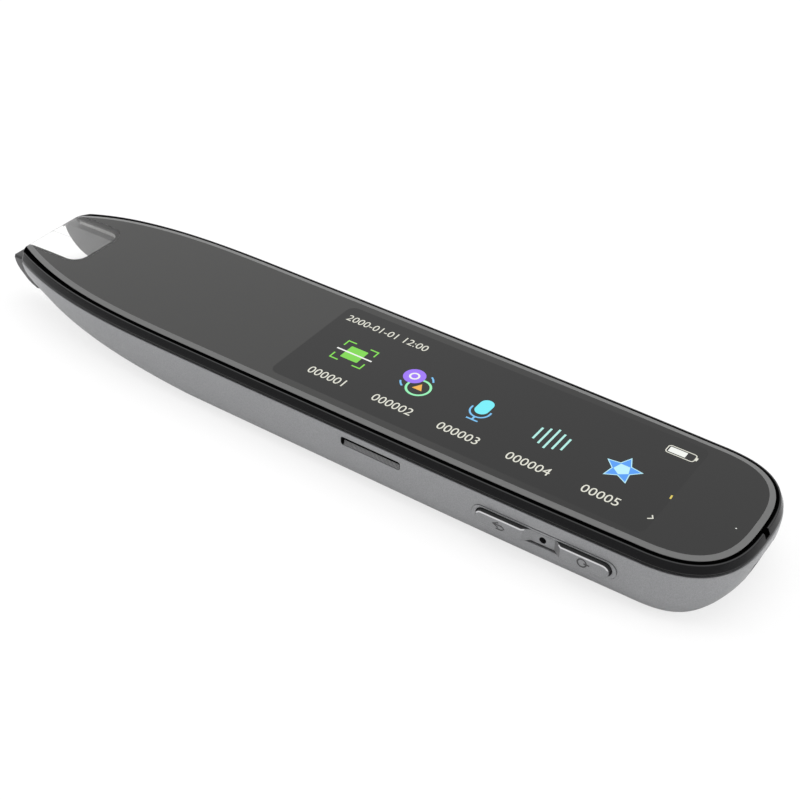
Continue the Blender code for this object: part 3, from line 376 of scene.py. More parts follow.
class PenGlass(bpy.types.PropertyGroup):
    """Finish of the cover glass and of the print behind it."""

    edge_round: length_setting("Edge width", "Width of the sloping rim", 0.00100)
    edge_drop: length_setting("Edge drop", "Height of the sloping rim", 0.00020)
    # The rim's grey stands in for the reflection and the light through the glass's edge: a painted reflection
    rim_reflection_colour: colour_setting("Edge colour", "Colour of the ground rim", (0.115, 0.116, 0.115))
    print_colour: colour_setting("Print colour", "Colour behind the glass", (0.020, 0.020, 0.019))


class PenShell(bpy.types.PropertyGroup):
    """Finish of the painted shell."""

    paint_colour: colour_setting("Paint colour", "Colour of the metallic paint", (0.246, 0.248, 0.255))
    flake_size: length_setting("Flake size", "Size of the paint's flakes", 0.00009)
    rim_round: length_setting("Rim round", "Radius of the shell's upper rim", 0.00020)
    edge_round: length_setting("Edge round", "Radius at openings", 0.00010)


class PenBezel(bpy.types.PropertyGroup):
    """Finish of the black frame round the glass."""

    colour: colour_setting("Colour", "Colour of the glossy frame", (0.004, 0.004, 0.0045))
    edge_round: length_setting("Edge round", "Radius of the frame's edges", 0.00012)


class PenTip(bpy.types.PropertyGroup):
    """Finish of the sliding tip and of the reading mouth."""

    colour: colour_setting("Colour", "Colour of the tip's plastic", (0.060, 0.060, 0.062))
    edge_round: length_setting("Edge round", "Radius of the tip's edges", 0.00030)


class PenKey(bpy.types.PropertyGroup):
    """Shape and finish of the rocker key."""

    edge_round: length_setting("Edge round", "Width of the key's bright edge", 0.00030)
    paint_colour: colour_setting("Paint colour", "Colour of the key's painted face", (0.222, 0.224, 0.230))
    mark_colour: colour_setting("Mark colour", "Colour of the marks on the pads", (0.035, 0.035, 0.037))


class PenScreen(bpy.types.PropertyGroup):
    """What the lit screen shows."""

    clock_text: StringProperty(
        name="Clock", description="Digits in the top line of the screen", default="2000-01-01 12:00"
    )
    brightness: FloatProperty(
        name="Brightness", description="Strength of the lit marks", default=0.95, min=0.0, max=2.0
    )
    background: colour_setting("Background", "Colour of the dark screen", (0.003, 0.003, 0.003))
    text_height: length_setting("Text height", "Height of the digits", 0.0019)
    wave_bars: IntProperty(name="Wave bars", description="Bars in the wave", default=5, min=1, max=9)


class PenSpeaker(bpy.types.PropertyGroup):
    """The fine mesh behind the speaker slot."""

    wire_pitch: length_setting("Wire pitch", "Distance between wires", 0.00026)
    wire_radius: length_setting("Wire radius", "Radius of one wire", 0.00005)


class PenStage(bpy.types.PropertyGroup):
    """Camera, lamps and floor."""

    camera_azimuth: angle_setting("Camera azimuth", "Turn of the camera round the pen", 35.25)
    camera_elevation: angle_setting("Camera elevation", "Height of the camera as an angle", 37.68)
    camera_lens: FloatProperty(name="Lens", description="Focal length in millimetres", default=65.55)
    world_level: FloatProperty(name="World level", description="Light from all round", default=0.62)
    floor_colour: colour_setting("Floor colour", "Colour of the floor", (0.94, 0.94, 0.94))


def at(station, across=0.0, depth=0.0):
    """A place on the pen as a point in the frame."""
    return Vector((nose_edge_x + station, across, pen_thickness - depth))


# Meshes


def linked(name, data):
    """A new object in the scene."""
    item = bpy.data.objects.new(name, data)
    bpy.context.scene.collection.objects.link(item)
    return item


def plain_mesh(item):
    """The mesh that an object shows with its modifiers run. The object is then removed."""
    bpy.context.view_layer.update()
    mesh = bpy.data.meshes.new_from_object(item.evaluated_get(bpy.context.evaluated_depsgraph_get()))
    item.modifiers.clear()
    bpy.data.objects.remove(item, do_unlink=True)
    return mesh


def mesh_of(shape):
    """A new mesh with the content of a bmesh, which is freed."""
    mesh = bpy.data.meshes.new("shape")
    shape.to_mesh(mesh)
    shape.free()
    return mesh


def mesh_from(points, faces):
    """A closed mesh of points and faces, where points that meet become one."""
    shape = bmesh.new()
    corners = [shape.verts.new(point) for point in points]
    for face in faces:
        distinct = []
        for index in face:
            if not any((points[index] - points[other]).length < same_point for other in distinct):
                distinct.append(index)
        if len(distinct) > 2:
            shape.faces.new([corners[index] for index in distinct])
    bmesh.ops.remove_doubles(shape, verts=shape.verts, dist=same_point)
    loose = [corner for corner in shape.verts if not corner.link_faces]
    bmesh.ops.delete(shape, geom=loose, context="VERTS")
    bmesh.ops.recalc_face_normals(shape, faces=shape.faces)
    return mesh_of(shape)


def loft(rings, closed_ends=True):
    """Skin a row of rings that have the same number of points."""
    count = len(rings[0])
    last = (len(rings) - 1) * count
    faces = []
    for low in range(0, last, count):
        for index in range(count):
            following = (index + 1) % count
            faces.append((low + index, low + following, low + count + following, low + count + index))
    if closed_ends:
        faces.append(tuple(range(count)))
        faces.append(tuple(last + index for index in range(count)))
    return mesh_from([point for ring in rings for point in ring], faces)


def skinned(levels):
    """A closed form over levels, each with the points of its near edge and then those of its far edge."""
    row = len(levels[0])
    count = row // 2
    last = row * (len(levels) - 1)
    faces = []
    for near in range(0, last, row):
        far = near + count
        for index in range(count - 1):
            faces.append((near + index, near + index + 1, near + index + 1 + row, near + index + row))
            faces.append((far + index, far + index + row, far + index + 1 + row, far + index + 1))
        faces.append((near, near + row, far + row, far))
    for near in (0, last):
        for index in range(near, near + count - 1):
            faces.append((index, index + 1, index + 1 + count, index + count))
    return mesh_from([point for level in levels for point in level], faces)


def box(stations, acrosses, depths):
    """A block between two stations, two places across and two depths."""
    (left, right), (top, bottom) = acrosses, depths
    corners = ((left, top), (right, top), (right, bottom), (left, bottom))
    return loft([[at(station, across, depth) for across, depth in corners] for station in stations])


def plan_prism(outline, depths):
    """A prism of a plan outline between two depths."""
    return loft([[at(station, across, depth) for station, across in outline] for depth in depths])


def side_prism(profile, acrosses):
    """A prism of a side view between two places across."""
    return loft([[at(station, across, depth) for station, depth in profile] for across in acrosses])


def turned(start, axis, profile, sides):
    """A turned piece with a radius at each distance of its profile along an axis."""
    side = axis.orthogonal().normalized()
    other = axis.cross(side)
    turns = [2 * math.pi * step / sides for step in range(sides)]
    rings = []
    for along, radius in profile:
        middle = start + axis * along
        rings.append([middle + radius * (math.cos(turn) * side + math.sin(turn) * other) for turn in turns])
    return loft(rings)


def rod(start, end, radius):
    """A round rod between two points."""
    reach = end - start
    return turned(start, reach.normalized(), ((0.0, radius), (reach.length, radius)), 32)


def combine(mesh, tool_mesh, operation):
    """One mesh cut, joined or crossed by another with the exact Boolean."""
    body, tool = linked("body", mesh), linked("tool", tool_mesh)
    modifier = body.modifiers.new("combine", "BOOLEAN")
    modifier.operation = operation
    modifier.solver = "EXACT"
    modifier.object = tool
    result = plain_mesh(body)
    bpy.data.objects.remove(tool, do_unlink=True)
    return result


def cut(mesh, *tools):
    """A mesh with each tool taken out of it."""
    for tool in tools:
        mesh = combine(mesh, tool, "DIFFERENCE")
    return mesh


def join(mesh, *tools):
    """A mesh with each tool joined to it."""
    for tool in tools:
        mesh = combine(mesh, tool, "UNION")
    return mesh


def gathered(meshes):
    """Several meshes as one mesh of separate closed parts."""
    shape = bmesh.new()
    for mesh in meshes:
        shape.from_mesh(mesh)
    return mesh_of(shape)


def softened(mesh, width, segments=3, angle=math.radians(40)):
    """A mesh with its sharp edges rounded."""
    item = linked("soften", mesh)
    modifier = item.modifiers.new("round", "BEVEL")
    modifier.width = width
    modifier.segments = segments
    modifier.limit_method = "ANGLE"
    modifier.angle_limit = angle
    return plain_mesh(item)


def merged_copy(name):
    """A copy of a CAD node's mesh with its loose triangles joined and its flat faces made whole."""
    shape = bmesh.new()
    shape.from_mesh(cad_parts[name].data)
    bmesh.ops.remove_doubles(shape, verts=shape.verts, dist=same_point)
    bmesh.ops.dissolve_limit(shape, angle_limit=math.radians(0.5), verts=shape.verts, edges=shape.edges)
    return mesh_of(shape)


def drooped(mesh, steps=12):
    """Bend a mesh down at the nose of the pen, in strips narrow enough to bend evenly."""
    if not any(corner.co.x < nose_edge_x + nose_droop_length for corner in mesh.vertices):
        return
    shape = bmesh.new()
    shape.from_mesh(mesh)
    for step in range(1, steps + 1):
        everything = shape.verts[:] + shape.edges[:] + shape.faces[:]
        place = at(nose_droop_length * step / steps)
        bmesh.ops.bisect_plane(shape, geom=everything, dist=same_point, plane_co=place, plane_no=(1, 0, 0))
    for corner in shape.verts:
        along = min(max(1 - (corner.co.x - nose_edge_x) / nose_droop_length, 0.0), nose_droop_limit)
        high = min(max(1 - (pen_thickness - corner.co.z) / nose_droop_depth, 0.0), 1.0)
        corner.co.z -= nose_droop * along**2 * high
    shape.to_mesh(mesh)
    shape.free()


def coat(mesh, *finishes):
    """Give a mesh its finishes, in order."""
    mesh.materials.clear()
    for material in finishes:
        mesh.materials.append(material)


def new_piece(name, mesh, material, body, replaced=(), angle=smooth_angle):
    """A piece that rides on a body of the frame. A mesh that has its finishes is given no material."""
    drooped(mesh)
    piece = linked(name, mesh)
    if material is not None:
        coat(mesh, material)
    mesh.shade_smooth()
    mesh.set_sharp_from_angle(angle=angle)
    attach(piece, body)
    if replaced:
        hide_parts(*replaced)


# Outlines


def spread(start, end, steps):
    """Evenly spaced values from the start up to, but not with, the end."""
    return [start + (end - start) * step / steps for step in range(steps)]


def quarter(steps):
    """The cosine and the sine of evenly spaced turns from nothing to a quarter."""
    turns = [math.pi / 2 * step / steps for step in range(steps + 1)]
    return [(math.cos(turn), math.sin(turn)) for turn in turns]


def flank_half_width(station):
    """Half the glass's width between its nose corner and its tail corner."""
    nose_share = max(0.0, 1 - station / nose_flank_length)
    taper_share = max(0.0, (station - tail_taper_start) / (tail_corner_station - tail_taper_start))
    narrowing = (glass_half_width - nose_half_width) * nose_share**nose_flank_power
    return glass_half_width - narrowing - tail_taper * taper_share**2


def glass_half_outline():
    """Stations and half widths of the glass, from the middle of its nose to the middle of its tail."""
    slope = (glass_half_width - nose_half_width) * nose_flank_power / nose_flank_length
    centre_across = nose_half_width + nose_corner_radius * (slope - math.hypot(1, slope))
    last_turn = math.pi / 2 + math.atan(slope)
    outline = [(0.0, 0.0)]
    for turn in spread(math.pi, last_turn, nose_corner_steps):
        station = nose_corner_radius * (1 + math.cos(turn))
        outline.append((station, centre_across + nose_corner_radius * math.sin(turn)))
    corner_end = nose_corner_radius * (1 + math.cos(last_turn))
    stations = spread(corner_end, nose_form_start, 6)
    stations += spread(nose_form_start, nose_flank_length, 36)
    stations += spread(nose_flank_length, tail_taper_start, 12)
    stations += spread(tail_taper_start, tail_corner_station, 12)
    outline += [(station, flank_half_width(station)) for station in stations]
    corner_half_width = flank_half_width(tail_corner_station)
    for cosine, sine in quarter(tail_corner_steps)[:-1]:
        station = tail_corner_station + tail_corner_length * sine ** (2 / tail_corner_power)
        outline.append((station, corner_half_width * cosine ** (2 / tail_corner_power)))
    return outline + [(glass_length, 0.0)]


def outline_normals(outline):
    """The outward direction at each point of a half outline."""
    mirrored_start = (outline[1][0], -outline[1][1])
    mirrored_end = (outline[-2][0], -outline[-2][1])
    padded = [mirrored_start] + outline + [mirrored_end]
    normals = []
    for before, after in zip(padded[:-2], padded[2:]):
        along, across = after[0] - before[0], after[1] - before[1]
        reach = math.hypot(along, across)
        normals.append((-across / reach, along / reach))
    return normals


# Each point of the glass's half outline, with the outward direction there
glass_samples = list(zip(glass_half_outline(), outline_normals(glass_half_outline())))


def flare(station, growth):
    """How much further the bezel's lip and the shell stand off the glass at the nose."""
    if growth < groove_width - least_width:
        return 0.0
    return nose_flare * max(0.0, 1 - station / nose_flare_length) ** 2


def grown_half_outline(growth):
    """The glass's half outline moved outwards, or inwards where the growth is negative."""
    grown = []
    for (station, half_width), normal in glass_samples:
        reach = growth + flare(station, growth)
        grown.append((station + reach * normal[0], half_width + reach * normal[1]))
    return grown


def beside_glass(point):
    """How far a point lies outside the glass, and the outward direction there."""
    station, across = point.x - nose_edge_x, abs(point.y)
    nearest, normal = min(glass_samples, key=lambda sample: math.dist(sample[0], (station, across)))
    growth = (station - nearest[0]) * normal[0] + (across - nearest[1]) * normal[1]
    return growth, Vector((normal[0], math.copysign(normal[1], point.y), 0.0))


def closed(half_outline):
    """A whole outline from a half outline."""
    key_side = [(station, -half_width) for station, half_width in half_outline]
    far_side = [point for point in reversed(half_outline) if point[1] > least_width]
    return key_side + far_side


def width_at(outline, wanted):
    """The half width of an outline at a station, on its way out from the nose."""
    for (first, first_width), (second, second_width) in zip(outline, outline[1:]):
        if first <= wanted <= second and second > first:
            return first_width + (second_width - first_width) * (wanted - first) / (second - first)
    raise ValueError(f"the outline has no station {wanted}")


def clipped_half_outline(growth, start):
    """The part of a grown half outline behind a station, with a square front end."""
    outline = grown_half_outline(growth)
    return [(start, width_at(outline, start))] + [point for point in outline if point[0] > start]


def underside_depth(station):
    """How deep the underside lies: flat, and rising towards the nose."""
    share = max(0.0, 1 - station / nose_lift_length)
    return pen_thickness - nose_lift * share**nose_lift_power


def pulled_in(station):
    """Where the flat underside ends below a point of the rim, drawn in from the nose and the tail."""
    nose_share = max(0.0, 1 - station / nose_form_length)
    tail_share = max(0.0, 1 - (pen_end_station - station) / tail_pull_length)
    return station + nose_pull * nose_share**2 - tail_pull * tail_share**2


def hull_mesh(growth, inset, top_depth, rim_round, start=None, steps=round_steps):
    """The shell's form: over its rim, down its wall and round its fillet to a flat underside."""
    rim = grown_half_outline(growth) if start is None else clipped_half_outline(growth, start)
    normals = outline_normals(rim)
    wall_ends, bottoms = [], []
    for (station, half_width), normal in zip(rim, normals):
        nose_share = max(0.0, 1 - station / nose_form_length) ** 2
        tail_share = max(normal[0], 0.0) ** 2
        foot_station = station if station == start else pulled_in(station)
        foot_share = 1 - (side_fillet - inset) / (glass_half_width + growth)
        foot_share *= 1 - nose_narrowing_share * nose_share
        bottom_depth = underside_depth(foot_station) - inset
        height = side_fillet - inset
        height += (nose_fillet_height - side_fillet) * nose_share
        height += (tail_fillet_height - side_fillet) * tail_share
        height = min(height, bottom_depth - top_depth - rim_round - least_wall_height)
        wall_ends.append((station, half_width, bottom_depth - height))
        bottoms.append((foot_station, half_width * foot_share, bottom_depth))
    rings = []
    for cosine, sine in quarter(edge_steps) if rim_round > 0 else [(1.0, 0.0)]:
        drawn_in = rim_round * (1 - sine)
        depth = top_depth + rim_round * (1 - cosine)
        ring = []
        for (station, half_width), normal in zip(rim, normals):
            ring.append((station - drawn_in * normal[0], max(half_width - drawn_in * normal[1], 0.0), depth))
        rings.append(ring)
    rings.append(wall_ends)
    for out, down in quarter(steps)[1:]:
        ring = []
        for edge, foot in zip(wall_ends, bottoms):
            station = foot[0] + (edge[0] - foot[0]) * out
            half_width = foot[1] + (edge[1] - foot[1]) * out
            ring.append((station, half_width, edge[2] + (foot[2] - edge[2]) * down))
        rings.append(ring)
    levels = []
    for ring in rings:
        levels.append([at(s, side * w, d) for side in (-1, 1) for s, w, d in ring])
    return skinned(levels)


def stadium(length, height, corner_radius=None):
    """Half heights of a slot at places along it from its middle, with round ends or round corners."""
    radius = height / 2 if corner_radius is None else corner_radius
    straight = length / 2 - radius
    level = height / 2 - radius
    first = [(-straight - radius * cosine, level + radius * sine) for cosine, sine in quarter(round_steps)]
    return first + [(-along, half_height) for along, half_height in reversed(first)]


def side_stadium(station, depth, length, height, acrosses, corner_radius=None):
    """A prism across the pen with round ends or round corners."""
    shape = stadium(length, height, corner_radius)
    upper = [(station + along, depth - half_height) for along, half_height in shape]
    lower = [(station + along, depth + half_height) for along, half_height in shape if half_height > 0]
    return side_prism(upper + lower[::-1], acrosses)


def key_form(acrosses, end_margin, side_margin):
    """A prism across the pen in the keys' outline, with margins round it."""
    length, height = key_length + 2 * end_margin, key_height + 2 * side_margin
    return side_stadium(key_station, key_depth, length, height, acrosses)


def slot_form(acrosses, shift=0.0):
    """A prism across the pen in the speaker slot's outline, moved back and down by a shift."""
    return side_stadium(
        speaker_station + shift, slot_depth + shift, slot_length, slot_height, acrosses, slot_corner_radius
    )


def socket_port():
    """A flat tube with round sides for the mouth of the charging socket."""
    top, bottom = socket_top_depth - slide_gap, socket_top_depth + socket_height + slide_gap
    radius = (bottom - top) / 2
    middle = (top + bottom) / 2
    reach = socket_half_width + slide_gap - radius
    ring = []
    for side, first_turn in ((1, -math.pi / 2), (-1, math.pi / 2)):
        for step in range(round_steps + 1):
            turn = first_turn + math.pi * step / round_steps
            ring.append((side * reach + radius * math.cos(turn), middle + radius * math.sin(turn)))
    stations = (socket_mouth_station - socket_pocket_length, pen_end_station + overrun)
    return loft([[at(station, across, depth) for across, depth in ring] for station in stations])


def lean(mesh):
    """Turn and shift a mesh made for a straight flank so that it follows the flank at the keys."""
    length = tail_corner_station - tail_taper_start
    share = (key_station - tail_taper_start) / length
    turn = math.atan(2 * tail_taper * share / length)
    pivot = at(key_station, -shell_half_width)
    shifted = pivot + Vector((0.0, tail_taper * share**2, 0.0))
    mesh.transform(Matrix.Translation(shifted) @ Matrix.Rotation(turn, 4, "Z") @ Matrix.Translation(-pivot))
    return mesh


def rounded_corners(corners, steps=4):
    """A closed section from corners with a radius each, where every corner becomes a small arc."""
    result = []
    for index, (*point, radius) in enumerate(corners):
        here = Vector(point)
        before = Vector(corners[index - 1][:2]) - here
        after = Vector(corners[(index + 1) % len(corners)][:2]) - here
        reach = min(radius, before.length / arcs_per_edge, after.length / arcs_per_edge)
        if reach <= 0:
            result.append(tuple(here))
            continue
        start, end = here + before.normalized() * reach, here + after.normalized() * reach
        for step in range(steps + 1):
            share = step / steps
            result.append(tuple(start * (1 - share) ** 2 + here * 2 * share * (1 - share) + end * share**2))
    return result


# Materials


def feed(tree, taker, inputs):
    """Link a node's inputs to sockets, or set them to plain values."""
    for name, value in inputs.items():
        if isinstance(value, bpy.types.NodeSocket):
            tree.links.new(value, taker.inputs[name])
        else:
            taker.inputs[name].default_value = value


def made(tree, kind, inputs=None, output=0, **settings):
    """One output of a new node, with the node's settings and its inputs linked or set."""
    maker = tree.nodes.new(kind)
    for name, value in settings.items():
        setattr(maker, name, value)
    feed(tree, maker, inputs or {})
    return maker.outputs[output]


def worked_out(tree, operation, first, second=0.0):
    """The result of a calculation with two values, each a socket or a number."""
    return made(tree, "ShaderNodeMath", {0: first, 1: second}, operation=operation)


def ranged(tree, value, results, limits=(0.0, 1.0), interpolation="LINEAR"):
    """A value moved from between two limits to between two results."""
    inputs = {"From Min": limits[0], "From Max": limits[1], "To Min": results[0], "To Max": results[1]}
    return made(tree, "ShaderNodeMapRange", {"Value": value, **inputs}, interpolation_type=interpolation)


def noise(tree, place, size, detail=2.0):
    """A value that wavers over the surface."""
    return made(tree, "ShaderNodeTexNoise", {"Vector": place, "Scale": 1 / size, "Detail": detail})


def varied(tree, waver, colour, change):
    """A colour that grows darker and brighter with a wavering value."""
    dark, bright = [[min(channel * share, 1.0) for channel in colour] for share in (1 - change, 1 + change)]
    return made(tree, "ShaderNodeMix", {0: waver, 6: (*dark, 1.0), 7: (*bright, 1.0)}, 2, data_type="RGBA")


def scaled(tree, colour, factor):
    """A colour times a value."""
    return made(tree, "ShaderNodeVectorMath", {0: colour, "Scale": factor}, operation="SCALE")


def bumps(tree, height, strength, distance):
    """Normals of a relief."""
    return made(tree, "ShaderNodeBump", {"Height": height, "Strength": strength, "Distance": distance})


def blank_material(name):
    """A material with a Principled shader, its output and object coordinates."""
    material = bpy.data.materials.new(name)
    material.use_nodes = True
    tree = material.node_tree
    tree.nodes.clear()
    shader = tree.nodes.new("ShaderNodeBsdfPrincipled")
    feed(tree, tree.nodes.new("ShaderNodeOutputMaterial"), {"Surface": shader.outputs["BSDF"]})
    return material, tree, shader, made(tree, "ShaderNodeTexCoord", output="Object")


def mix_in(tree, shader, share, other):
    """Give another shader a share of a material's surface."""
    own = shader.outputs["BSDF"]
    output = own.links[0].to_node
    feed(tree, output, {"Surface": made(tree, "ShaderNodeMixShader", {0: share, 1: own, 2: other})})


def plain_finish(
    name, colour, roughness, change=0.08, size=0.0008, relief=0.0,
    metallic=0.0, coating=0.0, mirror=0.5, tail_share=1.0
):
    """A moulded, pressed or printed surface with a slight change of colour and shine.

    Its colour can fade along the screen, down to a share of it at the screen's tail end, as a painted sheen
    that leaves the surface lighter towards the nose.
    """
    material, tree, shader, place = blank_material(name)
    waver = noise(tree, place, size)
    base = varied(tree, waver, colour, change)
    # A fade along the screen is a painted sheen, lighter towards the nose
    if tail_share < 1:
        along = made(tree, "ShaderNodeSeparateXYZ", {"Vector": place}, "X")
        limits = (at(screen_start).x, at(screen_end).x)
        base = scaled(tree, base, ranged(tree, along, (1.0, tail_share), limits, "SMOOTHSTEP"))
    shine = ranged(tree, waver, (roughness * 0.85, min(roughness * 1.15, 1.0)))
    feed(tree, shader, {"Base Color": base, "Roughness": shine, "Metallic": metallic})
    feed(tree, shader, {"Coat Weight": coating, "Specular IOR Level": mirror})
    if relief > 0:
        feed(tree, shader, {"Normal": bumps(tree, noise(tree, place, size / 3), 0.6, relief)})
    return material


def metallic_paint(name, colour, flake_size):
    """Satin grey paint with fine bright flakes under a thin lacquer."""
    material, tree, shader, place = blank_material(name)
    flakes = made(tree, "ShaderNodeTexVoronoi", {"Vector": place, "Scale": 1 / flake_size}, "Color")
    base = varied(tree, noise(tree, place, size=0.006), colour, change=0.03)
    base = scaled(tree, base, ranged(tree, flakes, (0.80, 1.20)))
    relief = bumps(tree, noise(tree, place, flake_size * 2), strength=0.6, distance=0.000004)
    feed(tree, shader, {"Base Color": base, "Metallic": 0.55, "Roughness": 0.42, "Normal": relief})
    feed(tree, shader, {"Coat Weight": 0.25, "Coat Roughness": 0.28})
    return material


def clear_glass(name):
    """Clear glass that lets the lamps' light through."""
    material, tree, shader = blank_material(name)[:3]
    feed(tree, shader, {"Base Color": (0.985, 0.985, 0.98, 1.0), "Roughness": 0.0})
    feed(tree, shader, {"IOR": 1.5, "Transmission Weight": 1.0})
    shadow = made(tree, "ShaderNodeLightPath", output="Is Shadow Ray")
    mix_in(tree, shader, shadow, made(tree, "ShaderNodeBsdfTransparent", {"Color": (0.90, 0.92, 0.91, 1.0)}))
    return material


def lit_mark(name, colour, brightness):
    """A lit mark of the screen."""
    material, tree, shader, place = blank_material(name)
    glow = varied(tree, noise(tree, place, size=0.0002), colour, change=0.02)
    feed(tree, shader, {"Base Color": (0.003, 0.003, 0.003, 1.0), "Roughness": 0.03})
    feed(tree, shader, {"Emission Color": glow, "Emission Strength": brightness})
    return material


def circuit_board(name):
    """Green lacquer over darker fibreglass with a pattern of thin tracks."""
    material, tree, shader, place = blank_material(name)
    tracks = made(
        tree,
        "ShaderNodeTexBrick",
        {
            "Vector": place,
            "Scale": 1.0,
            "Mortar Size": 0.00012,
            "Brick Width": 0.0042,
            "Row Height": 0.0007,
            "Color1": (0.012, 0.085, 0.035, 1.0),
            "Color2": (0.010, 0.070, 0.030, 1.0),
            "Mortar": (0.045, 0.20, 0.085, 1.0),
        },
        offset=0.35,
        squash=0.6,
        squash_frequency=3,
    )
    relief = bumps(tree, tracks.node.outputs["Fac"], strength=0.4, distance=0.00003)
    feed(tree, shader, {"Base Color": tracks, "Roughness": 0.38, "Coat Weight": 0.3, "Normal": relief})
    return material


def brushed_metal(name, colour, roughness):
    """Bright metal with fine lines along the pen."""
    material, tree, shader, place = blank_material(name)
    line_length, line_width = 0.004, 0.00008
    scale = (1 / line_length, 1 / line_width, 1 / line_width)
    stretched = made(tree, "ShaderNodeMapping", {"Vector": place, "Scale": scale})
    lines = noise(tree, stretched, size=1.0, detail=3.0)
    base = varied(tree, noise(tree, place, size=0.002), colour, change=0.05)
    shine = ranged(tree, lines, (roughness * 0.7, roughness * 1.3))
    feed(tree, shader, {"Base Color": base, "Roughness": shine, "Metallic": 1.0})
    return material


def finish(name, make=None, *values, **choices):
    """A finish by name, made the first time that it is asked for."""
    found = bpy.data.materials.get(name)
    if found:
        return found
    if make:
        return make(name, *values, **choices)
    if name in metal_finishes:
        return brushed_metal(name, *metal_finishes[name])
    return plain_finish(name, *plain_finishes[name])


def dress(names, material):
    """Give CAD nodes a finish in their own material slots."""
    for name in names:
        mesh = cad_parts[name].data
        for index in range(len(mesh.materials)):
            mesh.materials[index] = material
        if not mesh.materials:
            mesh.materials.append(material)


# Pieces


class PEN_OT_shell(bpy.types.Operator):
    """Make the painted shell with its raked nose, speaker slot, key hole and socket mouth"""

    bl_idname = "pen.make_shell"
    bl_label = "Shell"

    def execute(self, context):
        settings = context.scene.pen_shell
        shell = hull_mesh(shell_overhang, 0.0, shell_top_depth, settings.rim_round)
        growth = shell_overhang - shell_wall
        cavity = hull_mesh(growth, shell_floor, shell_top_depth - overrun, 0.0, cavity_station, 6)
        front, below = -tip_reach - overrun, pen_thickness + overrun
        mouth_acrosses = (-mouth_half_width, mouth_half_width)
        mouth = box((front, cavity_station + overrun), mouth_acrosses, (-overrun, below))
        wide = glass_half_width + 2 * shell_overhang
        rake_profile = [
            (front, -overrun),
            (nose_edge_station, -overrun),
            (nose_edge_station, shell_top_depth),
            (nose_edge_station + nose_edge_slope * (below - shell_top_depth), below),
            (front, below),
        ]
        rake = side_prism(rake_profile, (-wide, wide))
        outside, inside = -shell_half_width - overrun, -inner_half_width + overrun
        rim_acrosses = (-shell_half_width - key_rim_height, shell_wall / 2 - shell_half_width)
        rim = lean(key_form(rim_acrosses, key_rim_end_margin, key_rim_margin))
        shell = join(cut(shell, cavity, mouth, rake, slot_form((outside, inside)), socket_port()), rim)
        shell = cut(shell, lean(key_form((outside, inside), slide_gap, slide_gap)))
        for station, across in board_screw_places:
            floor = at(station, across, underside_depth(station) - shell_floor / 2)
            top = board_bottom_depth + seat_gap
            shell = join(shell, rod(floor, at(station, across, top), boss_radius))
            hole_start, hole_end = at(station, across, top - overrun), at(station, across, boss_hole_depth)
            shell = cut(shell, rod(hole_start, hole_end, screw_radius + screw_hole_gap))
        shell = softened(shell, settings.edge_round, 2, opening_angle)
        margins = (key_rim_end_margin + key_line_width, key_rim_margin + key_line_width)
        line = key_form((outside, key_line_width - shell_half_width), *margins)
        within = key_form((outside - overrun, inside), key_rim_end_margin, key_rim_margin)
        shell = cut(shell, lean(cut(line, within)))
        grey = finish("satin_grey_paint", metallic_paint, tuple(settings.paint_colour), settings.flake_size)
        new_piece("painted_shell", shell, grey, "pen", ["lower_shell"])
        return {"FINISHED"}


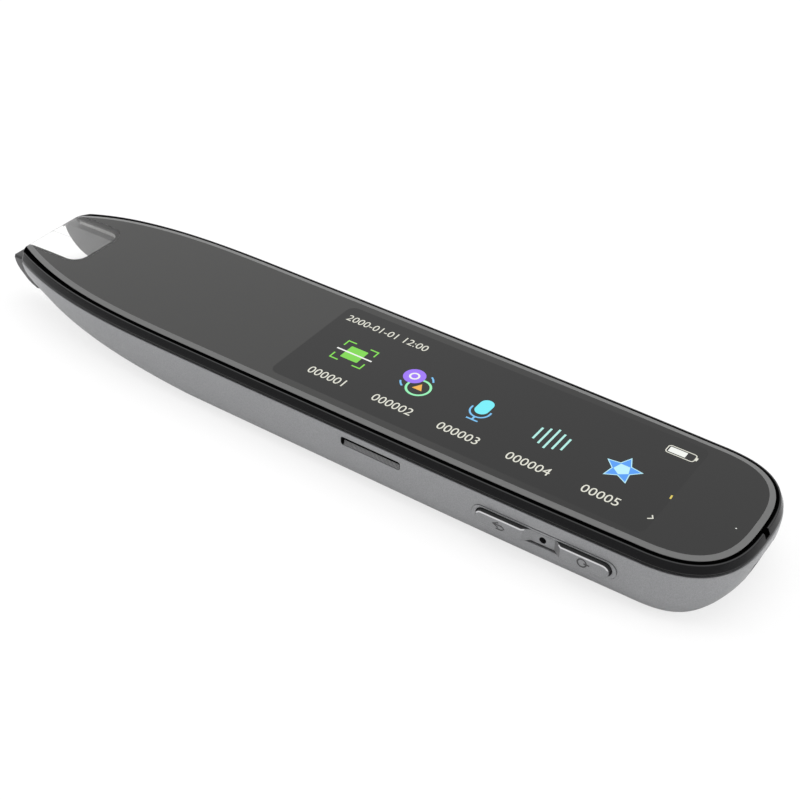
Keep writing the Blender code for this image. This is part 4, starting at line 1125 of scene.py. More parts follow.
class PEN_OT_bezel(bpy.types.Operator):
    """Make the glossy black frame round the glass"""

    bl_idname = "pen.make_bezel"
    bl_label = "Bezel"

    def execute(self, context):
        settings = context.scene.pen_bezel
        ring = self.make_ring(settings.edge_round)
        notch_station = glass_length + groove_width
        notch = box(
            (notch_station - overrun / 2, notch_station + tail_notch_length),
            (-tail_notch_width / 2, tail_notch_width / 2),
            (0.0, flange_top_depth - deck_inset),
        )
        decks = self.deck(nose_deck_start, nose_deck_end), self.deck(tail_deck_start, glass_length)
        lamp_hole = rod(at(*charge_lamp_place), at(*charge_lamp_place, board_depth), charge_hole_radius)
        window = plan_prism(window_outline(), (0.0, flange_bottom_depth + overrun))
        mesh = cut(join(ring, *decks), notch, lamp_hole, window)
        self.finish_faces(mesh, settings)
        new_piece("glossy_frame", mesh, None, "pen", ["bezel_frame"])
        return {"FINISHED"}

    def make_ring(self, soft):
        """The stepped section swept round the glass, from one nose leg to the other."""
        lip_outer = groove_width + lip_width
        tongue_outer = shell_overhang - shell_wall - seat_gap
        profile = rounded_corners(
            [
                (-ledge_width, ledge_top_depth, 0.0),
                (groove_width, ledge_top_depth, soft),
                (groove_width, lip_depth, soft),
                ((groove_width + lip_outer) / 2, lip_depth, 0.0),
                (lip_outer, lip_depth, soft * 1.6),
                (flange_overhang, flange_top_depth, soft),
                (flange_overhang, flange_bottom_depth, soft / 2),
                (tongue_outer, flange_bottom_depth, soft / 2),
                (tongue_outer, tongue_depth, soft),
                (tongue_outer - tongue_thickness, tongue_depth, soft),
                (tongue_outer - tongue_thickness, flange_bottom_depth, 0.0),
                (-ledge_width, flange_bottom_depth, 0.0),
            ]
        )
        sections = []
        distance, before = 0.0, glass_samples[nose_leg_first_point][0]
        for here, normal in glass_samples[nose_leg_first_point:]:
            distance += math.dist(here, before)
            before = here
            section = []
            for growth, depth in profile:
                if here[0] <= cavity_station + seat_gap:
                    depth = min(depth, flange_bottom_depth)
                reach = growth + flare(here[0], growth)
                if growth > 0:
                    reach *= self.leg_share(distance)
                section.append((here[0] + reach * normal[0], here[1] + reach * normal[1], depth))
            sections.append(section)
        near = [[at(s, -w, d) for s, w, d in section] for section in sections]
        far = [[at(s, w, d) for s, w, d in section] for section in reversed(sections[:-1])]
        return loft(near + far)

    def leg_share(self, distance):
        """How much of its width the rim has at a distance from the end of its nose leg."""
        share = min(distance / nose_leg_round, 1.0)
        return nose_leg_end_share + (1 - nose_leg_end_share) * share**2 * (3 - 2 * share)

    def deck(self, start, end):
        """A plate under the glass from one station to another."""
        outline = closed([(start, 0.0)] + clipped_half_outline(-ledge_width / 2, start))
        depths = (ledge_top_depth + deck_inset, flange_bottom_depth - deck_inset)
        return plan_prism([point for point in outline if point[0] < end], depths)

    def finish_faces(self, mesh, settings):
        """Glossy walls, painted shade in flat black in the groove beside the glass, painted highlights in a
        shinier black on the upper edges of the lip and the flange, and a grey painted highlight on the
        frame's walls inside the window.
        """
        colour = tuple(settings.colour)
        gloss = finish("glossy_black", plain_finish, colour, 0.16, 0.10, 0.003, mirror=0.13)
        coat(mesh, gloss, finish("dull_groove_black"), finish("shining_black_edge"), finish("window_lining"))
        lip_middle = groove_width + lip_width / 2
        window_end_x = nose_edge_x + window_length + slide_gap
        # Painted light by face: the groove and the inner half of the lip's top get painted shade, the upper
        # edges get painted highlights, and the black frame's walls inside the window are grey as a painted
        # highlight
        for polygon in mesh.polygons:
            middle, facing = polygon.center, polygon.normal
            growth = beside_glass(middle)[0]
            reach = growth - flare(middle.x - nose_edge_x, growth)
            in_window = middle.x < window_end_x and abs(middle.y) < window_half_width + slide_gap
            flange_highlight = reach > flange_overhang - settings.edge_round and facing.z > flange_facing
            lip_highlight = reach > lip_middle and facing.z > lip_facing
            if in_window and growth < 0:
                polygon.material_index = 3
            elif lip_highlight or flange_highlight:
                polygon.material_index = 2
            elif reach < lip_middle:
                polygon.material_index = 1


def window_outline(margin=0.0):
    """The reading window at the nose, open at the front, with round corners at its base."""
    radius = window_corner_radius + margin
    corner_station = window_length - window_corner_radius
    corner_across = window_half_width - window_corner_radius
    half = [(-overrun, window_half_width + margin)]
    for cosine, sine in quarter(window_corner_steps):
        half.append((corner_station + radius * sine, corner_across + radius * cosine))
    return [(station, -across) for station, across in half] + half[::-1]


class PEN_OT_glass(bpy.types.Operator):
    """Make the cover glass with a painted reflection on its sloping rim, and the print behind it"""

    bl_idname = "pen.make_glass"
    bl_label = "Glass"

    def execute(self, context):
        settings = context.scene.pen_glass
        print_colour = tuple(settings.print_colour)
        slab_mesh = self.make_slab(settings)
        cover = cut(slab_mesh, self.window_tool(clear_margin))
        clear_slab = combine(slab_mesh, self.window_tool(clear_margin - clear_gap), "INTERSECT")
        # The sloping rim's grey is a painted reflection, and its black side is painted shade
        rim = finish("ground_glass_rim", plain_finish, tuple(settings.rim_reflection_colour), 0.30, 0.05, 0.002)
        # The print on the glass fades darker towards the tail: a painted sheen, lighter towards the nose
        black = finish("printed_glass", plain_finish, print_colour, 0.03, 0.05, 0.004, tail_share=0.15)
        clear = finish("clear_glass", clear_glass)
        for name, mesh, main_finish, replaced in (
            ("printed_cover", cover, black, ["cover_glass"]),
            ("clear_window", clear_slab, clear, []),
        ):
            coat(mesh, main_finish, rim, finish("dull_groove_black"))
            self.mark_rim(mesh, settings)
            new_piece(name, mesh, None, "pen", replaced, glass_smooth_angle)
        sheet = plan_prism(closed(grown_half_outline(-print_inset)), print_depths)
        sheet = combine(sheet, self.window_tool(clear_margin - 2 * clear_gap), "INTERSECT")
        black = finish("black_print", plain_finish, print_colour, 0.6, 0.06, 0.004, mirror=0.0)
        new_piece("black_print_sheet", cut(sheet, self.window_tool(0.0)), black, "pen")
        line = stroke([(print_inset, 0.0), (aim_line_end, 0.0)], aim_line_width, print_depths[0])
        new_piece("aim_line", line, finish("aim_line_print"), "pen")
        return {"FINISHED"}

    def window_tool(self, margin):
        """A prism through the glass in the window's outline."""
        return plan_prism(window_outline(margin), (-overrun, glass_thickness + overrun))

    def make_slab(self, settings):
        """The whole sheet of glass, with a wide low slope round its upper edge."""
        turn = settings.edge_round * rim_turn_share
        rings = []
        for inset, depth in (
            (settings.edge_round, 0.0),
            (turn, settings.edge_drop),
            (turn / 3, settings.edge_drop + turn / 3),
            (0.0, settings.edge_drop + turn),
            (0.0, glass_thickness - cover_drop),
        ):
            rings.append([at(s, a, cover_drop + depth) for s, a in closed(grown_half_outline(-inset))])
        return loft(rings)

    def mark_rim(self, mesh, settings):
        """A grey painted reflection on the slope and flat black painted shade on the side, but not at the
        front of the window.
        """
        for polygon in mesh.polygons:
            middle, facing = polygon.center, polygon.normal
            growth, outward = beside_glass(middle)
            front = middle.x < nose_edge_x + nose_corner_radius and abs(middle.y) < window_half_width
            flat = growth < -settings.edge_round or facing.z < glass_bottom_facing
            if not (front or flat or facing.dot(outward) < 0.0):
                polygon.material_index = 1 if facing.z > rim_facing else 2


# Drawing on the screen


def slab(outline, depth=mark_depth):
    """A thin closed sheet of a plan outline."""
    return plan_prism(outline, (depth, depth + mark_thickness))


def ribbon(path, width, levels, place, looped, mitred):
    """A line of even width along a path between two levels, where place gives the point at a level."""
    low, high = levels
    count = len(path)
    rings = []
    for index, (x, y) in enumerate(path):
        inner = looped or 0 < index < count - 1
        before = path[index - 1] if looped or index else path[index]
        after = path[(index + 1) % count] if looped or index < count - 1 else path[index]
        direction = Vector((after[0] - before[0], after[1] - before[1])).normalized()
        share = 1.0
        if mitred and inner:
            first = Vector((x - before[0], y - before[1])).normalized()
            share = max(abs(first.dot(direction)), 0.4)
        side = Vector((-direction.y, direction.x)) * (width / 2 / share)
        left, right = (x + side.x, y + side.y), (x - side.x, y - side.y)
        rings.append([place(left, low), place(right, low), place(right, high), place(left, high)])
    return loft(rings + [rings[0]], False) if looped else loft(rings)


def plan_place(point, depth):
    """A plan point at a depth."""
    return at(*point, depth)


def side_place(point, across):
    """A point of the side view at a place across."""
    return at(point[0], across, point[1])


def stroke(path, width, depth=mark_depth, looped=False):
    """A line of even width along a path of plan points."""
    return ribbon(path, width, (depth, depth + mark_thickness), plan_place, looped, True)


def arc(centre, radius, start, end, steps=20):
    """Plan points along an arc, with angles in degrees from the tail's direction towards the far side."""
    points = []
    for step in range(steps + 1):
        turn = math.radians(start + (end - start) * step / steps)
        points.append((centre[0] + radius * math.cos(turn), centre[1] + radius * math.sin(turn)))
    return points


def circle(centre, radius, count=40):
    """Plan points round a circle."""
    return arc(centre, radius, 0, 360 - 360 / count, count - 1)


def rounded_box(centre, size, radius, steps=6):
    """Plan points of a rectangle with round corners."""
    points = []
    for side, end, start in ((1, 1, 0), (-1, 1, 90), (-1, -1, 180), (1, -1, 270)):
        middle = (centre[0] + side * (size[0] / 2 - radius), centre[1] + end * (size[1] / 2 - radius))
        points += arc(middle, radius, start, start + 90, steps)
    return points


def digits(text, place, height):
    """Plain digits laid flat, centred on a place, read from the key side."""
    curve = bpy.data.curves.new("digits", "FONT")
    curve.body = text
    curve.size = height / digit_height_share
    curve.align_x = "CENTER"
    curve.align_y = "CENTER"
    curve.extrude = mark_thickness / 2
    curve.resolution_u = 3
    mesh = plain_mesh(linked("digits", curve))
    mesh.transform(Matrix.Translation(at(*place, mark_depth)))
    return mesh


class PEN_OT_screen(bpy.types.Operator):
    """Make the lit screen: a dark field with a clock, a battery mark and a row of plain pictures"""

    bl_idname = "pen.make_screen"
    bl_label = "Screen"

    def execute(self, context):
        settings = context.scene.pen_screen
        middle = ((screen_start + screen_end) / 2, 0.0)
        size = (screen_end - screen_start, 2 * screen_half_width)
        field = slab(rounded_box(middle, size, screen_corner_radius), field_depth)
        dark = finish("dark_screen", plain_finish, tuple(settings.background), 0.03, 0.05, 0.004, mirror=0.45)
        new_piece("dark_screen_field", field, dark, "pen")
        marks = {name: [] for name in mark_colours}
        self.draw_scan(marks)
        self.draw_exchange(marks)
        self.draw_microphone(marks)
        self.draw_star(marks)
        self.draw_status(marks, settings)
        for name, meshes in marks.items():
            glow = finish(f"lit_{name}", lit_mark, mark_colours[name], settings.brightness)
            new_piece(f"screen_marks_{name}", gathered(meshes), glow, "pen")
        glow = finish("lit_wave", lit_mark, wave_colour, settings.brightness)
        new_piece("screen_marks_wave", wave_bars(settings.wave_bars, glow), None, "pen")
        return {"FINISHED"}

    def draw_scan(self, marks):
        """Corner brackets round a page, with a line across it."""
        x, y = scan_picture
        for side in (-1, 1):
            for end in (-1, 1):
                corner = (x + side * 0.0032, y + end * 0.0028)
                path = [(corner[0] - side * 0.0017, corner[1]), corner, (corner[0], corner[1] - end * 0.0015)]
                marks["green"].append(stroke(path, 0.00028))
        marks["page"].append(slab(rounded_box((x, y), (0.0036, 0.0036), 0.0002)))
        marks["white"].append(stroke([(x - 0.0037, y), (x + 0.0037, y)], 0.00034, raised_mark_depth))

    def draw_exchange(self, marks):
        """Two round counters, one filled and one open, with short curves at their sides."""
        x, y = exchange_picture
        first, second = (x - 0.00115, y + 0.0010), (x + 0.0012, y - 0.0013)
        marks["violet"].append(slab(circle(first, 0.0020), raised_mark_depth))
        marks["mint"].append(stroke(circle(second, 0.00212), 0.00042, looped=True))
        marks["white"].append(stroke(circle(first, 0.00080, 20), 0.00036, top_mark_depth, True))
        marks["orange"].append(slab(arc(second, 0.00112, 90, 330, 2)))
        for start in (27, 207):
            marks["sky"].append(stroke(arc((x, y), 0.0028, start, start + 32, 8), 0.00032))

    def draw_microphone(self, marks):
        """A microphone on its stand."""
        x, y = microphone_picture
        marks["cyan"].append(slab(rounded_box((x, y + 0.0011), (0.0025, 0.0041), 0.00125)))
        cup = arc((x, y - 0.0001), 0.0018, 180, 360, 18)
        marks["sky"].append(stroke([(x - 0.0018, y + 0.0004), *cup, (x + 0.0018, y + 0.0004)], 0.00032))
        marks["sky"].append(stroke([(x, y - 0.0019), (x, y - 0.0028)], 0.00036, raised_mark_depth))
        marks["sky"].append(stroke([(x - 0.0011, y - 0.0028), (x + 0.0011, y - 0.0028)], 0.00032))

    def draw_star(self, marks):
        """A five-pointed star with a pale middle and pale edges."""
        outer, waist, inner = (arc(star_picture, radius, 90, 414, 9) for radius in (0.0032, 0.0016, 0.0014))
        points = [waist[step] if step % 2 else outer[step] for step in range(10)]
        marks["blue"].append(slab(points))
        marks["pale_blue"].append(slab(inner[1::2], raised_mark_depth))
        marks["pale_blue"].append(stroke(points, 0.00016, raised_mark_depth, True))

    def draw_status(self, marks, settings):
        """The clock, the battery mark, the numbers under the pictures and what shows of the next one."""
        height = settings.text_height
        cream = marks["cream"]
        cream.append(digits(settings.clock_text, clock_place, height * 0.9))
        for number, station in number_stations.items():
            cream.append(digits(number, (station, number_across), height))
        cream.append(stroke([(0.1351, -0.0082), (0.1358, -0.0077), (0.1354, -0.0071)], 0.00022))
        x, y = battery_place
        cream.append(stroke(rounded_box(battery_place, (0.0049, 0.0019), 0.0005), 0.00018, looped=True))
        marks["white"].append(slab(rounded_box((x - 0.0006, y), (0.0030, 0.0013), 0.0001)))
        marks["white"].append(slab(circle(charge_lamp_place, charge_dot_radius)))
        cream.append(slab(rounded_box((x + 0.0027, y), (0.0003, 0.0008), 0.00012)))
        marks["yellow"].append(stroke([(0.1359, -0.0022), (0.1358, -0.0013)], 0.00030))


# Pieces that geometry nodes repeat


def geometry_tree(name, inputs):
    """A geometry tree with named inputs, and the sockets that they come from."""
    tree = bpy.data.node_groups.new(name, "GeometryNodeTree")
    tree.interface.new_socket("Geometry", in_out="OUTPUT", socket_type="NodeSocketGeometry")
    for input_name, (kind, default) in inputs.items():
        entry = tree.interface.new_socket(input_name, in_out="INPUT", socket_type=f"NodeSocket{kind}")
        if default is not None:
            entry.default_value = default
    return tree, tree.nodes.new("NodeGroupInput").outputs


def finish_tree(tree, shape, material):
    """End a geometry tree in Realize Instances and Set Material."""
    real = made(tree, "GeometryNodeRealizeInstances", {"Geometry": shape})
    coated = made(tree, "GeometryNodeSetMaterial", {"Geometry": real, "Material": material})
    feed(tree, tree.nodes.new("NodeGroupOutput"), {"Geometry": coated})


def run_tree(tree, values, mesh=None):
    """The plain mesh that a geometry tree makes with the given inputs."""
    item = linked("grower", mesh or bpy.data.meshes.new("grower"))
    modifier = item.modifiers.new("grow", "NODES")
    modifier.node_group = tree
    for entry in tree.interface.items_tree:
        if entry.name in values:
            modifier[entry.identifier] = values[entry.name]
    return plain_mesh(item)


def vector(tree, **parts):
    """A vector from its parts along X, Y and Z."""
    return made(tree, "ShaderNodeCombineXYZ", parts)


def row_of(tree, shape, count, offset, start, **placing):
    """Instances of a shape along a line."""
    inputs = {"Count": count, "Offset": offset, "Start Location": start}
    line = made(tree, "GeometryNodeMeshLine", inputs, mode="OFFSET")
    return made(tree, "GeometryNodeInstanceOnPoints", {"Points": line, "Instance": shape, **placing})


def wave_bars(count, material):
    """Bars of unlike length side by side, as a wave mark."""
    inputs = {
        "Count": ("Int", 5),
        "Pitch": ("Float", wave_pitch),
        "Width": ("Float", 0.00038),
        "Longest": ("Float", 0.0056),
        "Falloff": ("Float", 0.00115),
        "Thickness": ("Float", mark_thickness),
        "Place": ("Vector", None),
        "Finish": ("Material", None),
    }
    tree, given = geometry_tree("wave_bars", inputs)
    size = vector(tree, X=given["Width"], Y=given["Longest"], Z=given["Thickness"])
    bar = made(tree, "GeometryNodeMeshCube", {"Size": size})
    half = worked_out(tree, "MULTIPLY", worked_out(tree, "SUBTRACT", given["Count"], 1.0), 0.5)
    number = made(tree, "GeometryNodeInputIndex")
    away = worked_out(tree, "ABSOLUTE", worked_out(tree, "SUBTRACT", number, half))
    loss = worked_out(tree, "MULTIPLY", away, given["Falloff"])
    share = worked_out(tree, "SUBTRACT", 1.0, worked_out(tree, "DIVIDE", loss, given["Longest"]))
    scale = vector(tree, X=1.0, Y=share, Z=1.0)
    offset = vector(tree, X=given["Pitch"])
    bars = row_of(tree, bar, given["Count"], offset, given["Place"], Scale=scale)
    finish_tree(tree, bars, given["Finish"])
    station, across = wave_picture
    first = at(station - wave_pitch * (count - 1) / 2, across, mark_depth + 0.000001)
    return run_tree(tree, {"Count": count, "Place": first, "Finish": material})


def woven_wires(pitch, radius, size, place, material):
    """Two crossing rows of thin wires that fill a slot."""
    inputs = {
        "Length": ("Float", 0.0132),
        "Height": ("Float", 0.0019),
        "Pitch": ("Float", 0.00026),
        "Wire Radius": ("Float", 0.00005),
        "Finish": ("Material", None),
    }
    tree, given = geometry_tree("woven_wires", inputs)
    half_pitch = worked_out(tree, "MULTIPLY", given["Pitch"], 0.5)
    both = tree.nodes.new("GeometryNodeJoinGeometry")
    for along, across, turn, axis, lift in (
        ("Length", "Height", (0.0, math.pi / 2, 0.0), "Z", 0.7),
        ("Height", "Length", (0.0, 0.0, 0.0), "X", -0.7),
    ):
        sizes = {"Vertices": 8, "Radius": given["Wire Radius"], "Depth": given[along]}
        wire = made(tree, "GeometryNodeMeshCylinder", sizes, fill_type="NGON")
        count = worked_out(tree, "DIVIDE", given[across], given["Pitch"])
        back = worked_out(tree, "MULTIPLY", given[across], -0.5)
        raised = worked_out(tree, "MULTIPLY", given["Wire Radius"], lift)
        start = vector(tree, **{axis: worked_out(tree, "ADD", back, half_pitch), "Y": raised})
        row = row_of(tree, wire, count, vector(tree, **{axis: given["Pitch"]}), start, Rotation=turn)
        feed(tree, both, {"Geometry": row})
    finish_tree(tree, both.outputs["Geometry"], given["Finish"])
    values = {"Length": size[0], "Height": size[1], "Pitch": pitch, "Wire Radius": radius, "Finish": material}
    mesh = run_tree(tree, values)
    mesh.transform(Matrix.Translation(place) @ Matrix.Rotation(-mesh_tilt, 4, "X"))
    return mesh


def copies_on(places, shape, material, name):
    """Copies of one shape on marked points, made by a geometry tree."""
    source = linked(f"{name}_source", shape)
    marks = bpy.data.meshes.new("marks")
    marks.from_pydata(places, [], [])
    inputs = {"Marks": ("Geometry", None), "Source": ("Object", None), "Finish": ("Material", None)}
    tree, given = geometry_tree(name, inputs)
    copy = made(tree, "GeometryNodeObjectInfo", {"Object": given["Source"]}, "Geometry")
    placed = made(tree, "GeometryNodeInstanceOnPoints", {"Points": given["Marks"], "Instance": copy})
    finish_tree(tree, placed, given["Finish"])
    result = run_tree(tree, {"Source": source, "Finish": material}, marks)
    bpy.data.objects.remove(source, do_unlink=True)
    return result


class PEN_OT_tip(bpy.types.Operator):
    """Make the sliding tip round the reading mouth"""

    bl_idname = "pen.make_tip"
    bl_label = "Tip"

    def execute(self, context):
        settings = context.scene.pen_tip
        shape = softened(merged_copy("scan_tip"), settings.edge_round, 3, tip_edge_angle)
        colour = tuple(settings.colour)
        plastic = finish("satin_tip_plastic", plain_finish, colour, 0.34, 0.10, 0.0005, 0.000004)
        coat(shape, plastic, finish("dark_tip_top"))
        # Faces that point up get a darker plastic: painted shade on the tip's top
        for polygon in shape.polygons:
            polygon.material_index = int(polygon.normal.z > tip_top_facing)
        new_piece("soft_edged_tip", shape, None, "tip", ["scan_tip"], part_smooth_angle)
        return {"FINISHED"}


class PEN_OT_key(bpy.types.Operator):
    """Make the rocker key with its two pads, its saddle and its marks"""

    bl_idname = "pen.make_key"
    bl_label = "Key"

    def execute(self, context):
        settings = context.scene.pen_key
        flange_front = -inner_half_width + key_rock_play
        flange_back = flange_front + key_flange_thickness
        flange_middle = flange_front + key_flange_thickness / 2
        bar = self.make_bar(settings.edge_round, flange_middle)
        flange = key_form((flange_front, flange_back), key_flange_margin, key_flange_margin)
        lug_acrosses = (flange_back - key_flange_thickness / 2, flange_back + key_lug_reach)
        lug_depths = (key_depth - key_lug_half_height, key_depth + key_lug_half_height)
        lugs = []
        for side in (-1, 1):
            station = key_station + side * key_lug_arm
            stations = (station - key_lug_half_length, station + key_lug_half_length)
            lugs.append(box(stations, lug_acrosses, lug_depths))
        outer = at(key_station, -shell_half_width - overrun, key_depth)
        sound_hole = rod(outer, at(key_station, flange_back + overrun, key_depth), sound_hole_radius)
        mesh = cut(join(bar, flange, *lugs), sound_hole)
        face = finish("painted_key_face", metallic_paint, tuple(settings.paint_colour), key_flake_size)
        edge_highlight, shade = finish("polished_key_edge"), finish("shaded_key_ramp")
        coat(mesh, finish("dull_black_moulding"), face, edge_highlight, shade)
        face_back = saddle_sink + settings.edge_round - shell_half_width
        # The pads' upper edges get bright metal as a painted highlight, and the ramp faces that turn towards
        # the nose get a darker grey as painted shade
        for polygon in mesh.polygons:
            middle, facing = polygon.center, polygon.normal
            if middle.y > face_back or facing.y > key_front_facing:
                polygon.material_index = 0
            elif facing.z > key_edge_facing and middle.y < -shell_half_width - key_proud / 2:
                polygon.material_index = 2
            else:
                polygon.material_index = 3 if facing.x < key_ramp_facing else 1
        new_piece("painted_key", lean(mesh), None, "key", ["key_bar"], part_smooth_angle)
        ink = finish("key_mark_ink", plain_finish, tuple(settings.mark_colour), 0.45, 0.08, 0.0003)
        new_piece("key_marks", lean(self.make_marks()), ink, "key")
        return {"FINISHED"}

    def rise(self, along):
        """How far the key's face stands out of the shell."""
        share = min(max((abs(along) - saddle_half_length) / saddle_ramp, 0.0), 1.0)
        return -saddle_sink + (key_proud + saddle_sink) * share

    def outline(self, inset):
        """Half heights of the key at places along it, with extra places on the saddle's ramps."""
        shape = stadium(key_length - 2 * inset, key_height - 2 * inset)
        ramp = [saddle_half_length + saddle_ramp * step / 6 for step in range(7)]
        places = sorted([-along for along in ramp] + ramp)
        half = len(shape) // 2
        return shape[:half] + [(along, key_height / 2 - inset) for along in places] + shape[half:]

    def make_bar(self, edge_round, inner_across):
        """The bar of the key, with a rounded edge round its face."""
        levels = [[(along, inner_across, height) for along, height in self.outline(0.0)]]
        for cosine, sine in quarter(edge_steps):
            drop = edge_round * (1 - sine)
            level = []
            for along, height in self.outline(edge_round * (1 - cosine)):
                level.append((along, -shell_half_width - self.rise(along) + drop, height))
            levels.append(level)
        rows = []
        for level in levels:
            row = []
            for side in (-1, 1):
                row += [at(key_station + x, y, key_depth + side * z) for x, y, z in level]
            rows.append(row)
        return skinned(rows)

    def make_marks(self):
        """A return arrow on one pad and a ring on the other, printed on the paint."""
        lines = []
        for path in arrow_paths:
            points = [(arrow_station + x * key_mark_step, key_depth + y * key_mark_step) for x, y in path]
            lines.append((points, False))
        lines.append((circle((ring_station, key_depth), ring_radius, 20), True))
        lines.append(([(ring_station + along, key_depth) for along in ring_stem], False))
        levels = [level - shell_half_width - key_proud for level in key_mark_levels]
        meshes = [ribbon(path, key_mark_width, levels, side_place, looped, False) for path, looped in lines]
        return gathered(meshes)


class PEN_OT_speaker(bpy.types.Operator):
    """Make the woven mesh behind the speaker slot, and a black band of painted shadow along the slot's top
    and its end towards the nose
    """

    bl_idname = "pen.make_speaker"
    bl_label = "Speaker mesh"

    def execute(self, context):
        settings = context.scene.pen_speaker
        low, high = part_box("speaker_mesh")
        middle = (low + high) / 2 - Vector((0.0, mesh_shift, mesh_drop))
        size = (high.x - low.x - slide_gap, mesh_height)
        steel = finish("dark_mesh_steel")
        wires = woven_wires(settings.wire_pitch, settings.wire_radius, size, middle, steel)
        new_piece("woven_speaker_mesh", wires, None, "pen", ["speaker_mesh"])
        front, back = middle.y - slot_shadow_thickness, middle.y
        # The slot's outline less a copy moved back and down leaves a black band along the top and the end
        # towards the nose: painted shadow
        slot_shadow = cut(slot_form((front, back)), slot_form((front - overrun, back + overrun), slot_shadow_width))
        new_piece("speaker_gasket", slot_shadow, finish("dull_groove_black"), "pen")
        return {"FINISHED"}


class PEN_OT_socket(bpy.types.Operator):
    """Make the charging socket's folded tube and its contact tongue"""

    bl_idname = "pen.make_socket"
    bl_label = "Charging socket"

    def execute(self, context):
        tube = softened(merged_copy("charging_socket"), socket_edge_round, 3, opening_angle)
        steel = finish("bright_sheet_steel")
        new_piece("folded_socket_tube", tube, steel, "pen", ["charging_socket"], part_smooth_angle)
        tongue = softened(merged_copy("socket_tongue"), tongue_edge_round)
        black = finish("dull_black_moulding")
        new_piece("socket_contact_tongue", tongue, black, "pen", ["socket_tongue"])
        low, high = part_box("socket_tongue")
        length, width, thickness = contact_size
        pad = box((0.0, length), (-width / 2, width / 2), (0.0, thickness))
        pad.transform(Matrix.Translation(-at(0.0)))
        places = []
        for number in range(contact_columns):
            across = (number - (contact_columns - 1) / 2) * contact_pitch
            places.append(Vector((high.x - contact_reach, across, high.z + contact_lift)))
            places.append(Vector((high.x - contact_reach, across, low.z + contact_lift)))
        pads = copies_on(places, pad, finish("gold_contact"), "socket_contacts")
        new_piece("socket_contact_pads", pads, None, "pen")
        return {"FINISHED"}


class PEN_OT_screws(bpy.types.Operator):
    """Make the four small cross-head screws of the board"""

    bl_idname = "pen.make_screws"
    bl_label = "Board screws"

    def execute(self, context):
        names = [f"board_screw_{number}" for number in range(1, 5)]
        places = []
        for name in names:
            low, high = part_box(name)
            places.append(Vector(((low.x + high.x) / 2, (low.y + high.y) / 2, low.z)))
        shape = self.make_screw(high.z - low.z)
        screws = copies_on(places, shape, finish("plated_screw_steel"), "board_screws")
        new_piece("cross_head_screws", screws, None, "pen", names)
        return {"FINISHED"}

    def make_screw(self, length):
        """A screw that stands on the origin, with a domed head and a cross cut into it."""
        head_bottom = length - screw_head_height
        profile = [(0.0, screw_radius), (head_bottom, screw_radius), (head_bottom, screw_head_radius)]
        for cosine, sine in quarter(screw_head_steps)[1:]:
            radius = screw_head_radius * cosine + least_radius
            profile.append((head_bottom + screw_head_height * sine, radius))
        screw = turned(Vector((0.0, 0.0, 0.0)), Vector((0.0, 0.0, 1.0)), profile, 24)
        cross_length, cross_width, cross_depth = screw_cross_size
        x, y = cross_length / 2, cross_width / 2
        corners = ((-x, -y), (x, -y), (x, y), (-x, y))
        heights = (length - cross_depth, length + overrun)
        for turn in (0.0, math.pi / 2):
            blade = loft([[Vector((*corner, height)) for corner in corners] for height in heights])
            blade.transform(Matrix.Rotation(turn, 4, "Z"))
            screw = cut(screw, blade)
        return screw


class PEN_OT_inner(bpy.types.Operator):
    """Give the inner pieces their finishes"""

    bl_idname = "pen.dress_inner"
    bl_label = "Inner pieces"

    def execute(self, context):
        dress(("main_board", "key_board", "light_board"), finish("green_circuit_board", circuit_board))
        for name, nodes in dressed_nodes.items():
            dress(nodes, finish(name))
        return {"FINISHED"}


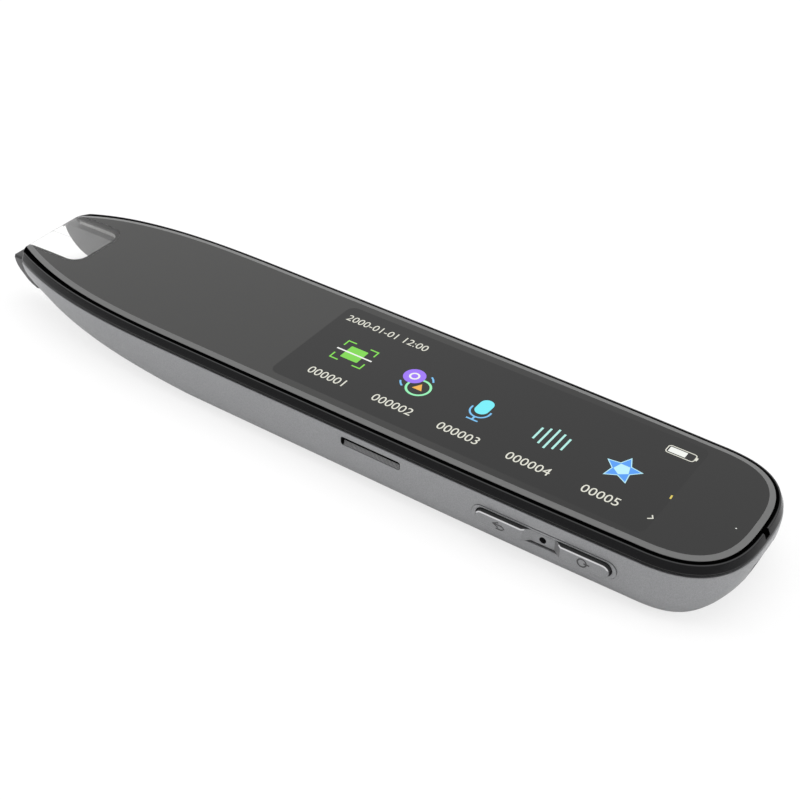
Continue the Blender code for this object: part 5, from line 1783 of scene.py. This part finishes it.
class PEN_OT_stage(bpy.types.Operator):
    """Set up the camera, the lamps, the floor and the surroundings"""

    bl_idname = "pen.make_stage"
    bl_label = "Stage"

    def execute(self, context):
        settings = context.scene.pen_stage
        self.make_camera(context.scene, settings)
        self.make_floor(settings)
        self.make_world(context.scene, settings)
        for name, (place, size, energy) in lamps.items():
            self.make_lamp(name, Vector(place), size, energy)
        context.scene.view_settings.view_transform = "Standard"
        return {"FINISHED"}

    def make_camera(self, scene, settings):
        """The camera at the photo's angle."""
        turn, rise = settings.camera_azimuth, settings.camera_elevation
        back = Vector((math.sin(turn) * math.cos(rise), -math.cos(turn) * math.cos(rise), math.sin(rise)))
        right = Vector((math.cos(turn), math.sin(turn), 0.0))
        up = Vector((-math.sin(turn) * math.sin(rise), math.cos(turn) * math.sin(rise), math.cos(rise)))
        place = Matrix((right, up, back)).transposed().to_4x4()
        place.translation = at(*camera_place)
        data = bpy.data.cameras.new("camera")
        data.sensor_width = 36.0
        data.lens = settings.camera_lens
        data.clip_start = 0.005
        data.clip_end = 20.0
        camera = linked("camera", data)
        camera.matrix_world = place
        scene.camera = camera

    def make_floor(self, settings):
        """A pale floor that keeps the pen's shadow and turns white further out."""
        mesh = bpy.data.meshes.new("floor")
        corners = [(x * floor_reach, y * floor_reach, 0.0) for x, y in ((-1, -1), (1, -1), (1, 1), (-1, 1))]
        mesh.from_pydata(corners, [], [(0, 1, 2, 3)])
        floor = linked("floor", mesh)
        floor.location.z = -floor_drop
        material, tree, shader, place = blank_material("pale_floor")
        colour = varied(tree, noise(tree, place, size=0.2), tuple(settings.floor_colour), change=0.004)
        feed(tree, shader, {"Base Color": colour, "Roughness": 0.9, "Specular IOR Level": 0.1})
        away = made(tree, "ShaderNodeVectorMath", {0: place}, "Value", operation="LENGTH")
        fade = ranged(tree, away, (0.72, 1.0), (0.15, 0.50), "SMOOTHSTEP")
        seen = made(tree, "ShaderNodeLightPath", output="Is Camera Ray")
        glow = made(tree, "ShaderNodeEmission", {"Color": white, "Strength": 1.0})
        mix_in(tree, shader, worked_out(tree, "MULTIPLY", seen, fade), glow)
        mesh.materials.append(material)

    def make_world(self, scene, settings):
        """Even light from all round, and white where the pen mirrors it."""
        world = bpy.data.worlds.new("studio")
        scene.world = world
        world.use_nodes = True
        tree = world.node_tree
        tree.nodes.clear()
        soft = made(tree, "ShaderNodeBackground", {"Color": white, "Strength": settings.world_level})
        full = made(tree, "ShaderNodeBackground", {"Color": white, "Strength": 1.0})
        path = tree.nodes.new("ShaderNodeLightPath").outputs
        seen = worked_out(tree, "MAXIMUM", path["Is Camera Ray"], path["Is Glossy Ray"])
        seen = worked_out(tree, "MAXIMUM", seen, path["Is Transmission Ray"])
        mixed = made(tree, "ShaderNodeMixShader", {0: seen, 1: soft, 2: full})
        feed(tree, tree.nodes.new("ShaderNodeOutputWorld"), {"Surface": mixed})

    def make_lamp(self, name, place, size, energy):
        """A square soft lamp aimed at the pen."""
        data = bpy.data.lights.new(name, "AREA")
        data.shape = "SQUARE"
        data.size = size
        data.energy = energy
        lamp = linked(name, data)
        lamp.location = place
        lamp.visible_glossy = False
        lamp.visible_camera = False
        lamp.rotation_mode = "QUATERNION"
        lamp.rotation_quaternion = (-place).to_track_quat("-Z", "Y")


class PEN_PT_pieces(bpy.types.Panel):
    """The pieces of the pen"""

    bl_idname = "PEN_PT_pieces"
    bl_label = "Scanning Pen"
    bl_space_type = "VIEW_3D"
    bl_region_type = "UI"
    bl_category = "Scanning Pen"

    def draw(self, context):
        column = self.layout.column(align=True)
        for maker in makers:
            column.operator(maker.bl_idname)
        for group in setting_groups:
            settings = getattr(context.scene, group)
            part = self.layout.box()
            part.label(text=group.replace("_", " ").capitalize())
            for name in settings.__annotations__:
                part.prop(settings, name)


setting_groups = {
    "pen_glass": PenGlass,
    "pen_shell": PenShell,
    "pen_bezel": PenBezel,
    "pen_tip": PenTip,
    "pen_key": PenKey,
    "pen_screen": PenScreen,
    "pen_speaker": PenSpeaker,
    "pen_stage": PenStage,
}
makers = (
    PEN_OT_shell,
    PEN_OT_bezel,
    PEN_OT_glass,
    PEN_OT_screen,
    PEN_OT_tip,
    PEN_OT_key,
    PEN_OT_speaker,
    PEN_OT_socket,
    PEN_OT_screws,
    PEN_OT_inner,
    PEN_OT_stage,
)
classes = (*setting_groups.values(), *makers, PEN_PT_pieces)


def register():
    """Add the classes and the settings to Blender."""
    for item in classes:
        bpy.utils.register_class(item)
    for name, group in setting_groups.items():
        setattr(bpy.types.Scene, name, PointerProperty(type=group))


def unregister():
    """Take the settings and the classes out of Blender again."""
    for name in setting_groups:
        delattr(bpy.types.Scene, name)
    for item in reversed(classes):
        bpy.utils.unregister_class(item)


def main():
    """Make every piece in order."""
    register()
    for maker in makers:
        group, name = maker.bl_idname.split(".")
        getattr(getattr(bpy.ops, group), name)()


if __name__ == "__main__":
    main()
